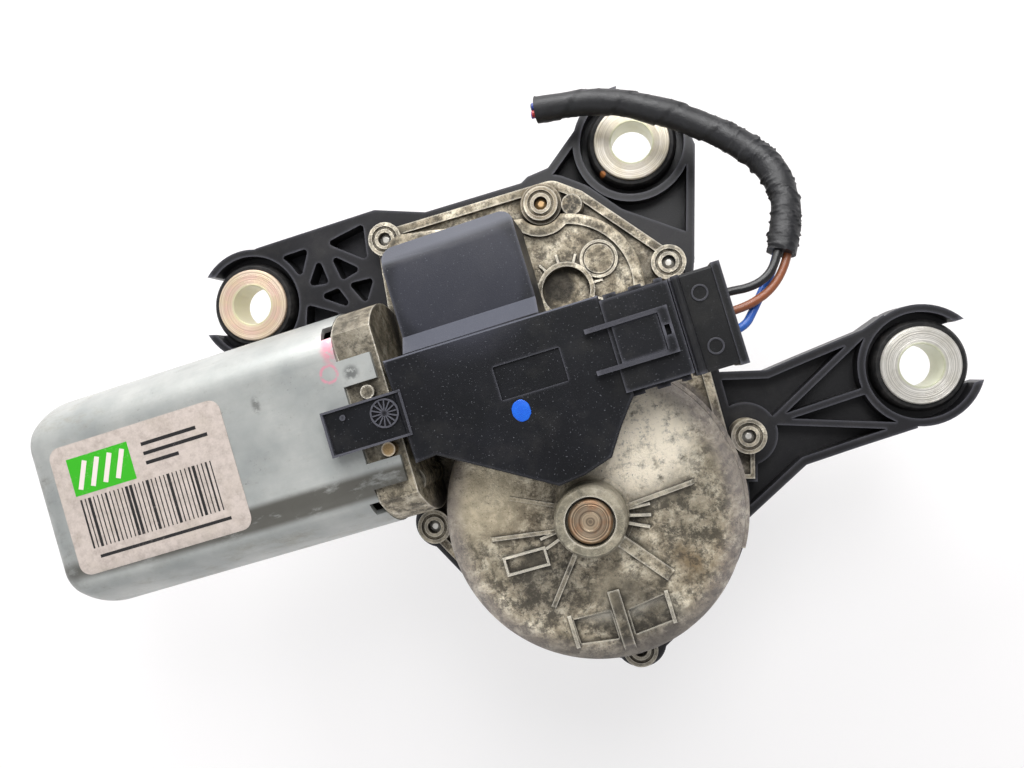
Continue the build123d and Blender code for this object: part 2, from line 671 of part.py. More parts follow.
# ---- rubber grommets and steel sleeves in the three cups ----------------------------------------
for place, (centre, angle) in zip(("left", "top", "right"), MOUNTS):
    with BuildPart() as grommet:
        with BuildSketch(radial_plane(centre)):
            with BuildLine():
                Polyline(
                    (SLEEVE_TUBE_R, 0.4),
                    (GROMMET_R - 0.8, 0.4),
                    (GROMMET_R, 1.2),
                    (GROMMET_R, WEB_Z),
                    (GROMMET_WAIST_R, WEB_Z),
                    (GROMMET_WAIST_R, WEB_Z + WEB),
                    (GROMMET_R, WEB_Z + WEB),
                    (GROMMET_R, 8.6),
                    (GROMMET_R - 0.9, SLEEVE_LENGTH - SLEEVE_HEAD + 0.7),
                    (SLEEVE_HEAD_R, SLEEVE_LENGTH - SLEEVE_HEAD + 0.7),
                    (SLEEVE_HEAD_R, SLEEVE_LENGTH - SLEEVE_HEAD),
                    (SLEEVE_TUBE_R, SLEEVE_LENGTH - SLEEVE_HEAD),
                    close=True,
                )
            make_face()
        revolve(axis=Axis((*centre, 0), (0, 0, 1)))
    finish(grommet, f"grommet_{place}")
    with BuildPart() as sleeve:
        with BuildSketch():
            with Locations(centre):
                Circle(SLEEVE_TUBE_R)
        extrude(amount=SLEEVE_LENGTH)
        with BuildSketch(Plane.XY.offset(SLEEVE_LENGTH - SLEEVE_HEAD)):
            with Locations(centre):
                Circle(SLEEVE_HEAD_R)
        extrude(amount=SLEEVE_HEAD)
        chamfer(sleeve.edges().filter_by(GeomType.CIRCLE).group_by(Axis.Z)[-1], 0.3)
        with BuildSketch():
            with Locations(centre):
                Circle(SLEEVE_BORE_R)
        extrude(amount=SLEEVE_LENGTH, mode=Mode.SUBTRACT)
    finish(sleeve, f"sleeve_{place}")

# ---- screws through the cover into the ears -----------------------------------------------------
SCREW_HEAD_R = 4.0
SCREW_HEAD = 2.6
SCREW_TIP_Z = 17.2
with BuildPart() as housing_screws:
    with Locations(*[(x, y, BRACKET_TOP_Z - COVER_SLAB) for x, y in EARS]):
        Cylinder(SCREW_HEAD_R, SCREW_HEAD, align=(Align.CENTER, Align.CENTER, Align.MAX))
        Cylinder(EAR_HOLE_R - 0.05, SCREW_TIP_Z - BRACKET_TOP_Z + COVER_SLAB - 1,
                 align=(Align.CENTER, Align.CENTER, Align.MIN))
    with Locations(*[(x, y, SCREW_TIP_Z - 1) for x, y in EARS]):
        Cone(EAR_HOLE_R - 0.05, 0.8, 1, align=(Align.CENTER, Align.CENTER, Align.MIN))
    with Locations(*[(x, y, BRACKET_TOP_Z - COVER_SLAB - SCREW_HEAD) for x, y in EARS]):
        Cylinder(1.6, 1.4, align=(Align.CENTER, Align.CENTER, Align.MIN), mode=Mode.SUBTRACT)
finish(housing_screws, "housing_screws")

# ---- steel can of the motor ---------------------------------------------------------------------
TONGUE_WIDTH = 6.4
TONGUE_REACH = 8.5
TONGUES_Y = (11.3, -14.4)
NOTCH = 2.6
REAR_BUSH_R = 7.0
REAR_BUSH = 6.0

with BuildPart() as can_core:
    with BuildSketch(motor_plane(CAN_END_X + CAN_WALL)):
        can_section(CAN_R - CAN_WALL, CAN_FLAT - CAN_WALL)
    extrude(amount=CAN_MOUTH_X - CAN_END_X)
    fillet(can_core.edges().filter_by(Axis.X), CAN_RIDGE_R - CAN_WALL)
    fillet(can_core.faces().sort_by(Axis.X)[0].edges(), CAN_EDGE_R - CAN_WALL)

with BuildPart() as motor_can:
    with BuildSketch(motor_plane(CAN_END_X)):
        can_section(CAN_R, CAN_FLAT)
    extrude(amount=CAN_MOUTH_X - CAN_END_X)
    fillet(motor_can.edges().filter_by(Axis.X), CAN_RIDGE_R)
    fillet(motor_can.faces().sort_by(Axis.X)[0].edges(), CAN_EDGE_R)
    add(can_core.part, mode=Mode.SUBTRACT)
    # drawn seat of the rear bearing, inside the closed end
    with BuildSketch(motor_plane(CAN_END_X + CAN_WALL)):
        Circle(REAR_BUSH_R + 1.5)
        Circle(REAR_BUSH_R, mode=Mode.SUBTRACT)
    extrude(amount=REAR_BUSH)
    # tongues crimped over the casting, and notches beside them
    for side in (-1, 1):
        with BuildSketch(motor_plane(CAN_MOUTH_X)):
            with Locations(*[(y, side * (CAN_FLAT - CAN_WALL / 2)) for y in TONGUES_Y]):
                Rectangle(TONGUE_WIDTH, CAN_WALL)
        extrude(amount=TONGUE_REACH)
        with BuildSketch(motor_plane(CAN_MOUTH_X - NOTCH)):
            with Locations((side * 20.6, 14.6)):
                Rectangle(4.6, 6, rotation=-side * 45)
            with Locations((side * 20.6, -14.6)):
                Rectangle(4.6, 6, rotation=side * 45)
        extrude(amount=NOTCH, mode=Mode.SUBTRACT)
finish(motor_can, "motor_can")

# ---- inside the can: magnets, bearings, brush gear ----------------------------------------------
MAGNET_Z = 14.0
with BuildPart() as magnets:
    with BuildSketch(motor_plane(STACK_X - 2)):
        Circle(CAN_R - CAN_WALL - 0.05)
        Circle(MAGNET_R, mode=Mode.SUBTRACT)
        Rectangle(4 * CAN_R, 2 * MAGNET_Z, mode=Mode.INTERSECT)
    extrude(amount=STACK_LENGTH + 4)
finish(magnets, "magnets")

TIP_BUSH_R = 5.0
SHAFT_TIP_X = 8.3
with BuildPart() as shaft_bearings:
    with BuildSketch(motor_plane(CAN_END_X + CAN_WALL)):
        Circle(REAR_BUSH_R - SEAT)
        Circle(SHAFT_R + RUNNING_GAP, mode=Mode.SUBTRACT)
    extrude(amount=REAR_BUSH)
    with BuildSketch(motor_plane(SPIGOT_X - 2)):
        Circle(6.5 - SEAT)
        Circle(SHAFT_R + RUNNING_GAP, mode=Mode.SUBTRACT)
    extrude(amount=12)
    with BuildSketch(motor_plane(4.2)):
        Circle(TIP_BUSH_R - SEAT)
        Circle(SHAFT_R + RUNNING_GAP, mode=Mode.SUBTRACT)
    extrude(amount=4)
finish(shaft_bearings, "shaft_bearings")

with BuildPart() as thrust_pad:
    with BuildSketch(motor_plane(SHAFT_TIP_X + RUNNING_GAP)):
        Circle(TIP_BUSH_R - SEAT)
    extrude(amount=1.5)
finish(thrust_pad, "thrust_pad")

BRUSH_REACH = COMMUTATOR_R + 0.1
BRUSH_LENGTH = 9.0
GUIDE_LENGTH = 12.5
with BuildPart() as brush_holder:
    with BuildSketch(motor_plane(CAN_MOUTH_X - 6)):
        can_section(CAN_R - CAN_WALL - 1.0, CAN_FLAT - CAN_WALL - 1.0)
        Circle(COMMUTATOR_R + 2, mode=Mode.SUBTRACT)
    extrude(amount=2.5)
    for side in (-1, 1):
        with BuildSketch(motor_plane(BRUSH_X - 4.5)):
            with Locations((side * (BRUSH_REACH + 0.8 + GUIDE_LENGTH / 2), 0)):
                Rectangle(GUIDE_LENGTH, 8)
        extrude(amount=CAN_MOUTH_X - 6 - BRUSH_X + 4.5)
        with BuildSketch(motor_plane(BRUSH_X - 3)):
            with Locations((side * (BRUSH_REACH + GUIDE_LENGTH / 2), 0)):
                Rectangle(GUIDE_LENGTH + 6, 5)
        extrude(amount=6, mode=Mode.SUBTRACT)
finish(brush_holder, "brush_holder")

with BuildPart() as carbon_brushes:
    for side in (-1, 1):
        with BuildSketch(motor_plane(BRUSH_X - 2.9)):
            with Locations((side * (BRUSH_REACH + BRUSH_LENGTH / 2), 0)):
                Rectangle(BRUSH_LENGTH, 4.8)
        extrude(amount=5.8)
finish(carbon_brushes, "carbon_brushes")

SPRING_R = 1.7
SPRING_WIRE = 0.6
SPRING_TURNS = 3
SPRING_PITCH = 1.4
with BuildPart() as brush_springs:
    for side in (-1, 1):
        start = MOTOR_Y + side * (BRUSH_REACH + BRUSH_LENGTH + SPRING_WIRE / 2)
        with BuildLine() as coil:
            Helix(
                pitch=SPRING_PITCH,
                height=SPRING_PITCH * SPRING_TURNS,
                radius=SPRING_R,
                center=(BRUSH_X, start, MOTOR_Z),
                direction=(0, side, 0),
            )
        with BuildSketch(Plane(origin=coil.line @ 0, z_dir=coil.line % 0)):
            RegularPolygon(SPRING_WIRE / 2, 4)
        sweep(path=coil.line, is_frenet=True)
finish(brush_springs, "brush_springs")

CHOKE_R = 2.4
with BuildPart() as choke_coils:
    for side in (-1, 1):
        with BuildSketch(motor_plane(CAN_MOUTH_X - 3.5)):
            with Locations((side * 16, 0)):
                Circle(CHOKE_R)
        extrude(amount=8)
        for turn in range(3):
            with BuildSketch(motor_plane(CAN_MOUTH_X - 2.3 + 2.2 * turn)):
                with Locations((side * 16, 0)):
                    Circle(CHOKE_R + 0.5)
            extrude(amount=1.3)
finish(choke_coils, "choke_coils")

# ---- armature -----------------------------------------------------------------------------------
WORM_CORE_R = WORM_PITCH_R - DEDENDUM
WORM_TIP_R = WORM_PITCH_R + ADDENDUM
WORM_LENGTH = WORM_TURNS * WORM_LEAD
WORM_FOOT_X = WHEEL[0] - WORM_LENGTH / 2
FLANK_STEPS = 4


def worm_flank(side):
    """One flank of the thread in a section across the axis, from its foot to its tip."""
    points = []
    for step in range(FLANK_STEPS + 1):
        radius = WORM_CORE_R + (WORM_TIP_R - WORM_CORE_R) * step / FLANK_STEPS
        half = TOOTH / 2 - (radius - WORM_PITCH_R) * math.tan(math.radians(FLANK_ANGLE))
        turn = side * 2 * math.pi * half / WORM_LEAD
        points.append((radius * math.cos(turn), radius * math.sin(turn)))
    return points


# the section twists once per lead, and a tooth faces the wheel at its middle plane
with BuildSketch(motor_plane(WORM_FOOT_X)) as worm_section:
    with BuildLine():
        low_flank = worm_flank(-1)
        high_flank = worm_flank(1)
        Spline(*low_flank)
        ThreePointArc(low_flank[-1], (WORM_TIP_R, 0), high_flank[-1])
        Spline(*high_flank)
        ThreePointArc(high_flank[0], (-WORM_CORE_R, 0), low_flank[0])
    make_face()
worm_thread = Solid.extrude_linear_with_rotation(
    worm_section.sketch.faces()[0],
    center=(WORM_FOOT_X, MOTOR_Y, MOTOR_Z),
    normal=(WORM_LENGTH, 0, 0),
    angle=360 * WORM_TURNS,
)

with BuildPart() as armature_shaft:
    with BuildSketch(motor_plane(CAN_END_X + CAN_WALL + 0.6)):
        Circle(SHAFT_R)
    extrude(amount=SHAFT_TIP_X - CAN_END_X - CAN_WALL - 0.6)
    add(worm_thread)
finish(armature_shaft, "armature_shaft")

with BuildPart() as lamination_stack:
    with BuildSketch(motor_plane(STACK_X)):
        Circle(STACK_R)
        Circle(SHAFT_R, mode=Mode.SUBTRACT)
        with PolarLocations(STACK_R - 4.2, SLOTS):
            SlotOverall(7.5, 3.0, mode=Mode.SUBTRACT)
        with PolarLocations(STACK_R - 0.4, SLOTS):
            Rectangle(2.4, 1.2, mode=Mode.SUBTRACT)
    extrude(amount=STACK_LENGTH)
finish(lamination_stack, "lamination_stack")

WINDING_HEAD = 6.0
with BuildPart() as windings:
    for foot_x in (STACK_X - WINDING_HEAD, STACK_X + STACK_LENGTH):
        with BuildSketch(motor_plane(foot_x)):
            Circle(STACK_R - 1.5)
            Circle(SHAFT_R + 1.5, mode=Mode.SUBTRACT)
        extrude(amount=WINDING_HEAD)
    chamfer(windings.edges().filter_by(GeomType.CIRCLE).sort_by(Axis.X)[:2], 2)
    chamfer(windings.edges().filter_by(GeomType.CIRCLE).sort_by(Axis.X)[-2:], 2)
    with BuildSketch(motor_plane(STACK_X)):
        with PolarLocations(STACK_R - 4.2, SLOTS):
            Rectangle(5.6, 2.4)
    extrude(amount=STACK_LENGTH)
finish(windings, "windings")

SEGMENTS = 12
with BuildPart() as commutator:
    with BuildSketch(motor_plane(COMMUTATOR_X)):
        Circle(COMMUTATOR_R)
        Circle(SHAFT_R, mode=Mode.SUBTRACT)
        with PolarLocations(COMMUTATOR_R, SEGMENTS):
            Rectangle(2.0, 0.5, mode=Mode.SUBTRACT)
    extrude(amount=COMMUTATOR_LENGTH)
    with BuildSketch(motor_plane(COMMUTATOR_X)):
        Circle(COMMUTATOR_R + 1.3)
        Circle(COMMUTATOR_R - 2, mode=Mode.SUBTRACT)
        with PolarLocations(COMMUTATOR_R + 1, SEGMENTS):
            Rectangle(3.0, 2.0, mode=Mode.SUBTRACT)
    extrude(amount=2)
finish(commutator, "commutator")

# ---- worm wheel with its crank pin --------------------------------------------------------------
HUB_SHAFT_LOW_Z = 18.6
WHEEL_HUB_R = 9.0
WHEEL_HUB_TOP_Z = 30.6
AXLE_LOW_Z = 20.3
RIM_R = 29.0
WEB_LOW_Z = 23.4
WEB_HIGH_Z = 26.6


def gear_corners(twist):
    """Corners of the toothed outline; at no twist a tooth space faces the worm."""
    slope = math.tan(math.radians(FLANK_ANGLE))
    root_r = WHEEL_PITCH_R - DEDENDUM
    tip_r = WHEEL_PITCH_R + ADDENDUM
    root_half = (TOOTH / 2 + DEDENDUM * slope) / root_r
    tip_half = (TOOTH / 2 - ADDENDUM * slope) / tip_r
    flanks = ((root_r, -root_half), (tip_r, -tip_half), (tip_r, tip_half), (root_r, root_half))
    corners = []
    for tooth in range(TEETH):
        middle = math.pi / 2 + twist + (tooth + 0.5) * 2 * math.pi / TEETH
        for radius, turn in flanks:
            corners.append((radius * math.cos(middle + turn), radius * math.sin(middle + turn)))
    return corners


HALF_TWIST = WHEEL_FACE / 2 * WORM_LEAD / (2 * math.pi * WORM_PITCH_R) / WHEEL_PITCH_R
with BuildPart() as worm_wheel:
    with BuildSketch(Plane(origin=(*WHEEL, WHEEL_LOW_Z))):
        Polygon(*gear_corners(-HALF_TWIST), align=None)
    with BuildSketch(Plane(origin=(*WHEEL, WHEEL_LOW_Z + WHEEL_FACE))):
        Polygon(*gear_corners(HALF_TWIST), align=None)
    loft(ruled=True)
    # recesses either side of the web, crossed by six ribs
    for low, high in ((WHEEL_LOW_Z, WEB_LOW_Z), (WEB_HIGH_Z, WHEEL_LOW_Z + WHEEL_FACE)):
        with BuildSketch(Plane(origin=(*WHEEL, low))):
            Circle(RIM_R)
            Circle(WHEEL_HUB_R, mode=Mode.SUBTRACT)
            with PolarLocations(19, 6, start_angle=30):
                Rectangle(26, 1.6, mode=Mode.SUBTRACT)
        extrude(amount=high - low, mode=Mode.SUBTRACT)
    with BuildSketch(Plane(origin=(*WHEEL, HUB_SHAFT_LOW_Z))):
        Circle(WHEEL_HUB_R)
    extrude(amount=WHEEL_HUB_TOP_Z - HUB_SHAFT_LOW_Z)
    with BuildSketch(Plane(origin=(*CRANK_PIN, HUB_SHAFT_LOW_Z))):
        Circle(PIN_R + 2.6)
    extrude(amount=WEB_HIGH_Z - HUB_SHAFT_LOW_Z)
    with BuildSketch(Plane(origin=(*WHEEL, AXLE_LOW_Z - 0.3))):
        Circle(AXLE_R + RUNNING_GAP)
    extrude(amount=WHEEL_HUB_TOP_Z, mode=Mode.SUBTRACT)
    with BuildSketch(Plane(origin=(*CRANK_PIN, HUB_SHAFT_LOW_Z - 1))):
        Circle(PIN_R)
    extrude(amount=6, mode=Mode.SUBTRACT)
finish(worm_wheel, "worm_wheel")

with BuildPart() as crank_pin:
    with BuildSketch(Plane(origin=(*CRANK_PIN, ROD_Z + ROD + 0.3))):
        Circle(PIN_R - SEAT)
    extrude(amount=HUB_SHAFT_LOW_Z + 5 - ROD_Z - ROD - 0.3)
finish(crank_pin, "crank_pin")

with BuildPart() as wheel_axle:
    with BuildSketch(Plane(origin=(*WHEEL, AXLE_LOW_Z))):
        Circle(AXLE_R - SEAT)
    extrude(amount=HUB_TOP_Z - 0.6 - AXLE_LOW_Z)
    chamfer(wheel_axle.edges().group_by(Axis.Z)[-1], 0.5)
finish(wheel_axle, "wheel_axle")

# ---- connecting rod and output lever ------------------------------------------------------------
ROD_ANGLE = math.degrees(math.atan2(PARK_PIN[1] - CRANK_PIN[1], PARK_PIN[0] - CRANK_PIN[0]))
ROD_MIDDLE = ((PARK_PIN[0] + CRANK_PIN[0]) / 2, (PARK_PIN[1] + CRANK_PIN[1]) / 2)
with BuildPart() as connecting_rod:
    with BuildSketch(Plane.XY.offset(ROD_Z)):
        with Locations(PARK_PIN, CRANK_PIN):
            Circle(EYE_R + 0.4)
        with Locations(ROD_MIDDLE):
            Rectangle(ROD_LENGTH, 6.4, rotation=ROD_ANGLE)
        with Locations(PARK_PIN, CRANK_PIN):
            Circle(PIN_R + RUNNING_GAP, mode=Mode.SUBTRACT)
    extrude(amount=ROD)
    for low in (ROD_Z, ROD_Z + ROD - 0.8):
        with BuildSketch(Plane.XY.offset(low)):
            with Locations(ROD_MIDDLE):
                SlotOverall(ROD_LENGTH - 16, 3.6, rotation=ROD_ANGLE)
        extrude(amount=0.8, mode=Mode.SUBTRACT)
finish(connecting_rod, "connecting_rod")

PIN_HEAD_TOP_Z = 18.0
with BuildPart() as output_lever:
    with BuildSketch(Plane.XY.offset(LEVER_Z)):
        Circle(8.5)
        with Locations(PARK_PIN):
            Circle(EYE_R - 0.4)
        make_hull()
        Circle(SHAFT_OUT_R, mode=Mode.SUBTRACT)
        with Locations(PARK_PIN):
            Circle(PIN_R, mode=Mode.SUBTRACT)
    extrude(amount=LEVER)
finish(output_lever, "output_lever")

with BuildPart() as lever_pin:
    with BuildSketch(Plane(origin=(*PARK_PIN, LEVER_Z))):
        Circle(PIN_R - SEAT)
    extrude(amount=PIN_HEAD_TOP_Z - LEVER_Z)
    with BuildSketch(Plane(origin=(*PARK_PIN, ROD_Z + ROD + 0.2))):
        Circle(EYE_R - 0.6)
    extrude(amount=PIN_HEAD_TOP_Z - ROD_Z - ROD - 0.2)
finish(lever_pin, "lever_pin")

# ---- output shaft, its bushes, seal and clip ----------------------------------------------------
CLIP_Z = -27.4
CLIP = 1.0
SEAL = 2.0
CONE_TIP_R = 4.3
SPLINES = 36
with BuildPart() as output_shaft:
    with BuildSketch(radial_plane((0, 0))):
        with BuildLine():
            Polyline(
                (0, SHAFT_TIP_Z),
                (THREAD_R - 0.7, SHAFT_TIP_Z),
                (THREAD_R, SHAFT_TIP_Z + 0.7),
                (THREAD_R, THREAD_Z),
                (CONE_TIP_R, THREAD_Z),
                (SHAFT_OUT_R, CONE_Z),
                (SHAFT_OUT_R, CLIP_Z),
                (SHAFT_OUT_R - 0.4, CLIP_Z),
                (SHAFT_OUT_R - 0.4, CLIP_Z + CLIP),
                (SHAFT_OUT_R, CLIP_Z + CLIP),
                (SHAFT_OUT_R, LEVER_Z),
                (SHAFT_OUT_R - SEAT, LEVER_Z),
                (SHAFT_OUT_R - SEAT, SHAFT_TOP_Z - 0.5),
                (SHAFT_OUT_R - 0.5, SHAFT_TOP_Z),
                (0, SHAFT_TOP_Z),
                close=True,
            )
        make_face()
    revolve(axis=Axis.Z)
    with BuildSketch(Plane.XY.offset(THREAD_Z)):
        with PolarLocations(SHAFT_OUT_R - 0.1, SPLINES):
            RegularPolygon(0.36, 3, rotation=180)
    extrude(amount=CONE_Z - THREAD_Z - 0.6, mode=Mode.SUBTRACT)
finish(output_shaft, "output_shaft")

with BuildPart() as shaft_bushes:
    for low, high in ((TUBE_END_Z + 0.2, -14.0), (0.5, BRACKET_TOP_Z)):
        with BuildSketch(Plane.XY.offset(low)):
            Circle(TUBE_BORE_R - SEAT)
            Circle(SHAFT_OUT_R + RUNNING_GAP, mode=Mode.SUBTRACT)
        extrude(amount=high - low)
finish(shaft_bushes, "shaft_bushes")

with BuildPart() as shaft_seal:
    with BuildSketch(Plane.XY.offset(TUBE_END_Z - SEAL)):
        Circle(TUBE_R)
        Circle(SHAFT_OUT_R + RUNNING_GAP, mode=Mode.SUBTRACT)
    extrude(amount=SEAL)
    chamfer(shaft_seal.edges().group_by(Axis.Z)[0].sort_by(SortBy.LENGTH)[-1], 0.8)
finish(shaft_seal, "shaft_seal")

with BuildPart() as shaft_clip:
    with BuildSketch(Plane.XY.offset(CLIP_Z)):
        Circle(7.4)
        Circle(SHAFT_OUT_R - 0.4 + SEAT, mode=Mode.SUBTRACT)
        with Locations((6.5, 0)):
            Rectangle(5, 3, mode=Mode.SUBTRACT)
    extrude(amount=CLIP)
finish(shaft_clip, "shaft_clip")

# ---- electronics cover with its socket ----------------------------------------------------------
COVER_LOW_Z = PAD_Z
COVER_CORNERS = [
    (-45.2, -5.8),
    (7.4, -6.1),
    (8.8, -30.2),
    (4.2, -36.0),
    (-0.1, -42.4),
    (-7.1, -44.6),
    (-13.5, -45.4),
    (-27.8, -37.1),
    (-35.2, -32.8),
    (-39.2, -30.5),
    (-44.4, -31.0),
]
DECK_LEFT_X = -40.0
DECK_RIGHT_X = -6.6
DECK_FAR_Y = 21.0
DECK_FLAT_Y = 15.3
DECK_BEVEL = 3.0
DECK_NEAR_Y = -6.3
DECK_CORNERS = [
    (DECK_LEFT_X, DECK_NEAR_Y),
    (DECK_LEFT_X, DECK_FAR_Y),
    (DECK_RIGHT_X, DECK_FAR_Y),
    (DECK_RIGHT_X, DECK_NEAR_Y),
]
TAB_LEFT_X = -63.3
TAB_RIGHT_X = -43.0
TAB_WIDTH = 11.1
TAB_LOW_Z = 44.7
TAB_TOP_Z = 47.6
SUN = (-48.2, -17.6)
PANEL = (-12.5, -18.8)
with BuildPart() as cover_room:
    with BuildSketch(Plane.XY.offset(COVER_LOW_Z - 1)):
        Polygon(*COVER_CORNERS, align=None)
        offset(amount=-COVER_WALL, kind=Kind.INTERSECTION, mode=Mode.REPLACE)
    extrude(amount=COVER_TOP_Z - COVER_WALL - COVER_LOW_Z + 1)
    with BuildSketch(Plane.XY.offset(PLATEAU_TOP_Z - 1)):
        Polygon(*DECK_CORNERS, align=None)
        offset(amount=-COVER_WALL, kind=Kind.INTERSECTION, mode=Mode.REPLACE)
    extrude(amount=DECK_TOP_Z - COVER_WALL - DECK_BEVEL - PLATEAU_TOP_Z + 1)

with BuildPart() as electronics_cover:
    with BuildSketch(Plane.XY.offset(COVER_LOW_Z)):
        Polygon(*COVER_CORNERS, align=None)
    extrude(amount=COVER_TOP_Z - COVER_LOW_Z)
    chamfer(electronics_cover.faces().sort_by(Axis.Z)[-1].edges(), 0.4)
    with BuildSketch(Plane.XY.offset(PLATEAU_TOP_Z)) as deck:
        Polygon(*DECK_CORNERS, align=None)
        fillet(deck.vertices().sort_by(Axis.Y)[-2:], 3.2)
    extrude(amount=DECK_TOP_Z - PLATEAU_TOP_Z)
    # wide bevel along the deck's far edge
    with BuildSketch(Plane.YZ.offset(DECK_LEFT_X - 1)):
        Polygon(
            (DECK_FLAT_Y, DECK_TOP_Z),
            (DECK_FAR_Y, DECK_TOP_Z - DECK_BEVEL),
            (DECK_FAR_Y + 1, DECK_TOP_Z - DECK_BEVEL),
            (DECK_FAR_Y + 1, DECK_TOP_Z + 1),
            (DECK_FLAT_Y, DECK_TOP_Z + 1),
            align=None,
        )
    extrude(amount=DECK_RIGHT_X - DECK_LEFT_X + 2, mode=Mode.SUBTRACT)
    # slope between the deck and the raised plate
    with BuildSketch(Plane.YZ.offset(DECK_LEFT_X)):
        Polygon(
            (-1.4, DECK_TOP_Z),
            (-5.6, COVER_TOP_Z - 0.4),
            (-7.0, COVER_TOP_Z - 0.4),
            (-7.0, DECK_TOP_Z),
            align=None,
        )
    extrude(amount=DECK_RIGHT_X - DECK_LEFT_X)
    add(cover_room.part, mode=Mode.SUBTRACT)
    # notch that clears the shaft's boss
    with BuildSketch(Plane.XY.offset(PLATEAU_TOP_Z)):
        Circle(7.9)
    extrude(amount=1.4, mode=Mode.SUBTRACT)
    # tab over the can, with a thin raised border
    with BuildSketch(Plane.XY.offset(TAB_LOW_Z)):
        with Locations(((TAB_LEFT_X + TAB_RIGHT_X) / 2, -18.8)):
            Rectangle(TAB_RIGHT_X - TAB_LEFT_X, TAB_WIDTH)
    extrude(amount=TAB_TOP_Z - TAB_LOW_Z)
    with BuildSketch(Plane.XY.offset(COVER_TOP_Z)):
        with Locations(((TAB_LEFT_X + TAB_RIGHT_X) / 2, -18.8)):
            Rectangle(TAB_RIGHT_X - TAB_LEFT_X, TAB_WIDTH)
            Rectangle(TAB_RIGHT_X - TAB_LEFT_X - 1.1, TAB_WIDTH - 1.1, mode=Mode.SUBTRACT)
    extrude(amount=0.4)
    with BuildSketch(Plane.XY.offset(TAB_TOP_Z - 0.1)):
        with Locations(((TAB_LEFT_X + TAB_RIGHT_X) / 2, -18.8)):
            Rectangle(TAB_RIGHT_X - TAB_LEFT_X, TAB_WIDTH)
            Rectangle(TAB_RIGHT_X - TAB_LEFT_X - 1.1, TAB_WIDTH - 1.1, mode=Mode.SUBTRACT)
    extrude(amount=COVER_TOP_Z - TAB_TOP_Z + 0.1)
    with BuildSketch(Plane.XY.offset(TAB_TOP_Z)):
        with Locations(SUN):
            Circle(3.5)
            Circle(3.1, mode=Mode.SUBTRACT)
            with PolarLocations(1.9, 14):
                Rectangle(2.6, 0.3)
            Circle(0.7)
        with Locations((-58.3, -15.8)):
            Circle(0.7)
    extrude(amount=0.5)
    # blank recessed panel
    with BuildSketch(Plane.XY.offset(COVER_TOP_Z - 0.6)):
        with Locations(PANEL):
            Rectangle(16.0, 8.0)
    extrude(amount=0.6, mode=Mode.SUBTRACT)
    # socket shell, open to the right
    with BuildSketch(Plane.XY.offset(SOCKET_LOW_Z)):
        with Locations(((SOCKET_LEFT_X + SOCKET_RIGHT_X) / 2, SOCKET_Y)):
            Rectangle(SOCKET_RIGHT_X - SOCKET_LEFT_X, SOCKET_WIDTH)
    extrude(amount=COVER_TOP_Z + 0.8 - SOCKET_LOW_Z)
    # slotted ledges along the socket's sides
    for side in (-1, 1):
        with BuildSketch(Plane.XY.offset(SOCKET_LOW_Z + 1)):
            with Locations((15.4, SOCKET_Y + side * (SOCKET_WIDTH / 2 + 0.6))):
                Rectangle(14.0, 1.4)
            slot_y = SOCKET_Y + side * (SOCKET_WIDTH / 2 + 1.1)
            with Locations((13.0, slot_y), (19.0, slot_y)):
                Rectangle(3.0, 1.0, mode=Mode.SUBTRACT)
        extrude(amount=7.5)
    # latch frame on the socket
    with BuildSketch(Plane.XY.offset(COVER_TOP_Z + 0.8)):
        with Locations((11.8, -13.4), (11.8, -23.2)):
            Rectangle(19.2, 1.1)
        with Locations((20.2, -18.3)):
            Rectangle(2.4, 10.8)
            Rectangle(1.2, 2.4, mode=Mode.SUBTRACT)
    extrude(amount=1.6)
    with BuildSketch(Plane.XY.offset(COVER_TOP_Z + 0.8)):
        with Locations((13.6, -18.3)):
            Rectangle(10.5, 8.6)
    extrude(amount=0.7)
    with BuildSketch(Plane.YZ.offset(9.0)):
        with Locations((SOCKET_Y, (SOCKET_LOW_Z + COVER_TOP_Z + 0.8) / 2)):
            Rectangle(SOCKET_WIDTH - 4, 8.4)
    extrude(amount=SOCKET_RIGHT_X - 9.0, mode=Mode.SUBTRACT)
finish(electronics_cover, "electronics_cover")

BOARD_Z = 39.0
BOARD = 1.6
with BuildPart() as circuit_board:
    with BuildSketch(Plane.XY.offset(BOARD_Z)):
        with Locations((-18.5, -16.4)):
            Rectangle(46.0, 14.0)
    extrude(amount=BOARD)
    with BuildSketch(Plane.XY.offset(BOARD_Z + BOARD)):
        with Locations((-31.0, -15.0)):
            Rectangle(13, 8)
        with Locations((-10.0, -20.0)):
            Rectangle(7, 5)
    extrude(amount=3.6)
finish(circuit_board, "circuit_board")

# ---- terminals, plug and its lock bar -----------------------------------------------------------
PITCH = 4.6
WIRE_Y = (SOCKET_Y + PITCH, SOCKET_Y, SOCKET_Y - PITCH)
CONTACT_Z = 43.0
BLADE_END_X = 19.0
INSERT_X = 11.0
INSERT_HIGH = 8.0
INSERT_WIDE = 17.4
CRIMP_END_X = 32.0
with BuildPart() as socket_terminals:
    for y in WIRE_Y:
        with BuildSketch(Plane.YZ.offset(7.0)):
            with Locations((y, CONTACT_Z)):
                Rectangle(2.8, 0.8)
        extrude(amount=BLADE_END_X - 7.0)
finish(socket_terminals, "socket_terminals")

